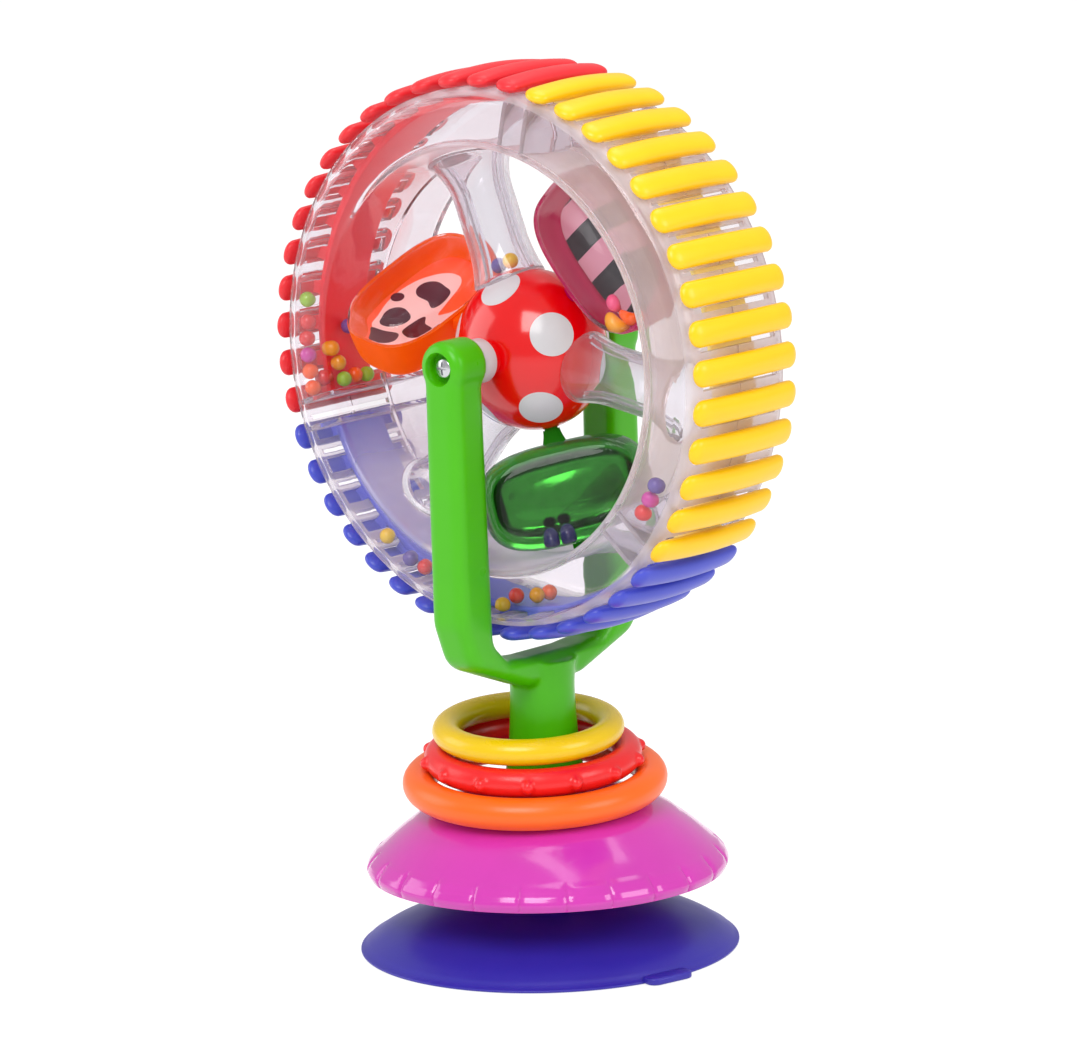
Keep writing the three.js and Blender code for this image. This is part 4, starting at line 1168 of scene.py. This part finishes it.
def insert(colour, look, body, place):
    """A flat card or mirror on the tray's floor, with its own flat coordinates."""
    inset = INSERT.inset_share * POD.half_length + POD.wall
    back = INSERT.depth_share * POD.tray - POD.wall - CLEARANCE
    front = back - INSERT.thickness
    shape = loft([pod_ring(inset, back), pod_ring(inset, front + INSERT.edge_height),
                  pod_ring(inset + INSERT.edge, front)])
    obj = make(colour + "_insert", shape, body, MATERIALS[look], [body + "_insert"], place,
               weld=False)
    layer = obj.data.uv_layers.new(name="flat")
    back_to_pod = place.inverted()
    for loop in obj.data.loops:
        p = back_to_pod @ obj.data.vertices[loop.vertex_index].co
        layer.data[loop.index].uv = (p.z / MM, p.x / MM)


def pods():
    parting = POD.parting
    tray = bowl(POD.tray + parting, 1, -parting)
    lens = bowl(POD.lens - parting - CLEARANCE, -1, -parting - CLEARANCE)
    tip = BALL.radius + CLEARANCE - POD.radius
    end = RIM.bore + RIM.wall - POD.radius
    pins = [pin_shape(tip - PIN.sink, tip + PIN.reach), pin_shape(POD.half_length - PIN.root, end)]
    tray = combined([tray, neck_shape(tip)] + pins)
    for index, (colour, (turn, slot, look)) in enumerate(PODS.items()):
        angle = math.radians(POD.lead + THIRD * index)
        centre = Vector((POD.radius * math.sin(angle), 0, POD.radius * math.cos(angle)))
        outward = Matrix.Rotation(angle - math.pi / 2, 4, "Y")
        spin = Matrix.Rotation(math.radians(turn), 4, "X")
        place = wheel_matrix @ Matrix.Translation(centre * MM) @ outward @ spin
        body = colour + "_pod"
        make(colour + "_tray", tray, body, MATERIALS["tray_" + colour], [body + "_tray"],
             place, sharp=40, weld=False)
        make(colour + "_lens", lens, body, MATERIALS["lens"], [body + "_lens"], place, sharp=40,
             weld=False)
        insert(colour, look, body, place)


# Beads


def beads():
    shape = ball_shape(BEAD_RADIUS, 12)
    slots = {part["node"]: part["material_slot"] for part in frame["record"]["subparts"]}
    for body, members in frame["record"]["behaviour"]["bodies"].items():
        for node in members:
            if "bead" in node:
                low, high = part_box(node)
                at = Matrix.Translation((low + high) / 2)
                make(node + "_round", shape, body, BEAD_MATERIALS[slots[node]], [node], at)


suction_cup()
cup_tab()
dome()
plain_rings()
knobbed_ring()
fork()
screws()
axle_rod()
wheel()
ball()
pods()
beads()
frame["nodes"]["stem_screw"].data.materials.clear()
frame["nodes"]["stem_screw"].data.materials.append(MATERIALS["steel"])

# Floor, world, lamps and camera

FLOOR = Values(side=6.0, front=3.0, drop=0.0002, glow=1.33, glow_share=0.6)
WORLD = Values(light=0.55, shown=1.0)

# Each lamp's place, the height that it aims at, its size and its power
LAMPS = {
    "key": ((0.5, -1.1, 1.25), 0.14, 0.8, 14.0),
    "fill": ((-1.2, -0.7, 0.6), 0.15, 0.9, 5.0),
    "side": ((1.35, 0.25, 0.75), 0.15, 0.7, 6.0),
    "top": ((0.0, 0.3, 1.5), 0.15, 0.9, 6.0),
}
CAMERA = Values(azimuth=41.743, elevation=11.241, roll=-1.810, place=(1.21203, -1.35725, 0.48920),
                focal_pixels=6271.4, frame_pixels=1079, sensor=36)


def floor():
    """A pale floor that shows as white and keeps the toy's shadow."""
    n = material_nodes("floor")
    diffuse = n.new("BsdfDiffuse", {"Color": (0.9, 0.9, 0.9, 1)}).outputs[0]
    glow = n.new("Emission", {"Color": WHITE, "Strength": FLOOR.glow}).outputs[0]
    path = n.new("LightPath").outputs
    seen = n.math("MAXIMUM", path["Is Camera Ray"], path["Is Transmission Ray"])
    seen = n.math("MAXIMUM", seen, path["Is Glossy Ray"])
    look = n.finish(n.mix_shader(n.math("MULTIPLY", seen, FLOOR.glow_share), diffuse, glow))
    side, front, z = FLOOR.side, -FLOOR.front, -FLOOR.drop
    corners = [(-side, front, z), (side, front, z), (side, side, z), (-side, side, z)]
    mesh = bpy.data.meshes.new("floor")
    mesh.from_pydata(corners, [], [(0, 1, 2, 3)])
    mesh.materials.append(look)
    in_scene("floor", mesh)


def world():
    """Soft light from all round, and plain white behind the toy."""
    n = Nodes(bpy.data.worlds.new("studio"), "OutputWorld")
    light = n.new("Background", {"Color": WHITE, "Strength": WORLD.light}).outputs[0]
    shown = n.new("Background", {"Color": WHITE, "Strength": WORLD.shown}).outputs[0]
    path = n.new("LightPath").outputs
    seen = n.math("MAXIMUM", path["Is Camera Ray"], path["Is Transmission Ray"])
    bpy.context.scene.world = n.finish(n.mix_shader(seen, light, shown))


def lamps():
    for name, (place, aim, size, power) in LAMPS.items():
        lamp = bpy.data.lights.new(name, "AREA")
        lamp.shape = "SQUARE"
        lamp.size = size
        lamp.energy = power
        obj = in_scene(name, lamp)
        obj.location = place
        obj.rotation_euler = (Vector((0, 0, aim)) - Vector(place)).to_track_quat("-Z", "Y").to_euler()


def camera():
    """A camera at the photograph's viewing angle."""
    data = bpy.data.cameras.new("camera")
    data.sensor_width = CAMERA.sensor
    data.lens = CAMERA.focal_pixels * CAMERA.sensor / CAMERA.frame_pixels
    data.clip_start, data.clip_end = 0.1, 100
    obj = in_scene("camera", data)
    obj.matrix_world = Matrix.Translation(CAMERA.place)
    for angle, axis in ((CAMERA.azimuth, "Z"), (90 - CAMERA.elevation, "X"), (CAMERA.roll, "Z")):
        obj.matrix_world @= Matrix.Rotation(math.radians(angle), 4, axis)
    bpy.context.scene.camera = obj


floor()
world()
lamps()
camera()
scene = bpy.context.scene
scene.view_settings.view_transform = "Standard"
scene.cycles.transparent_max_bounces = 64
scene.cycles.max_bounces = 32
scene.cycles.transmission_bounces = 32
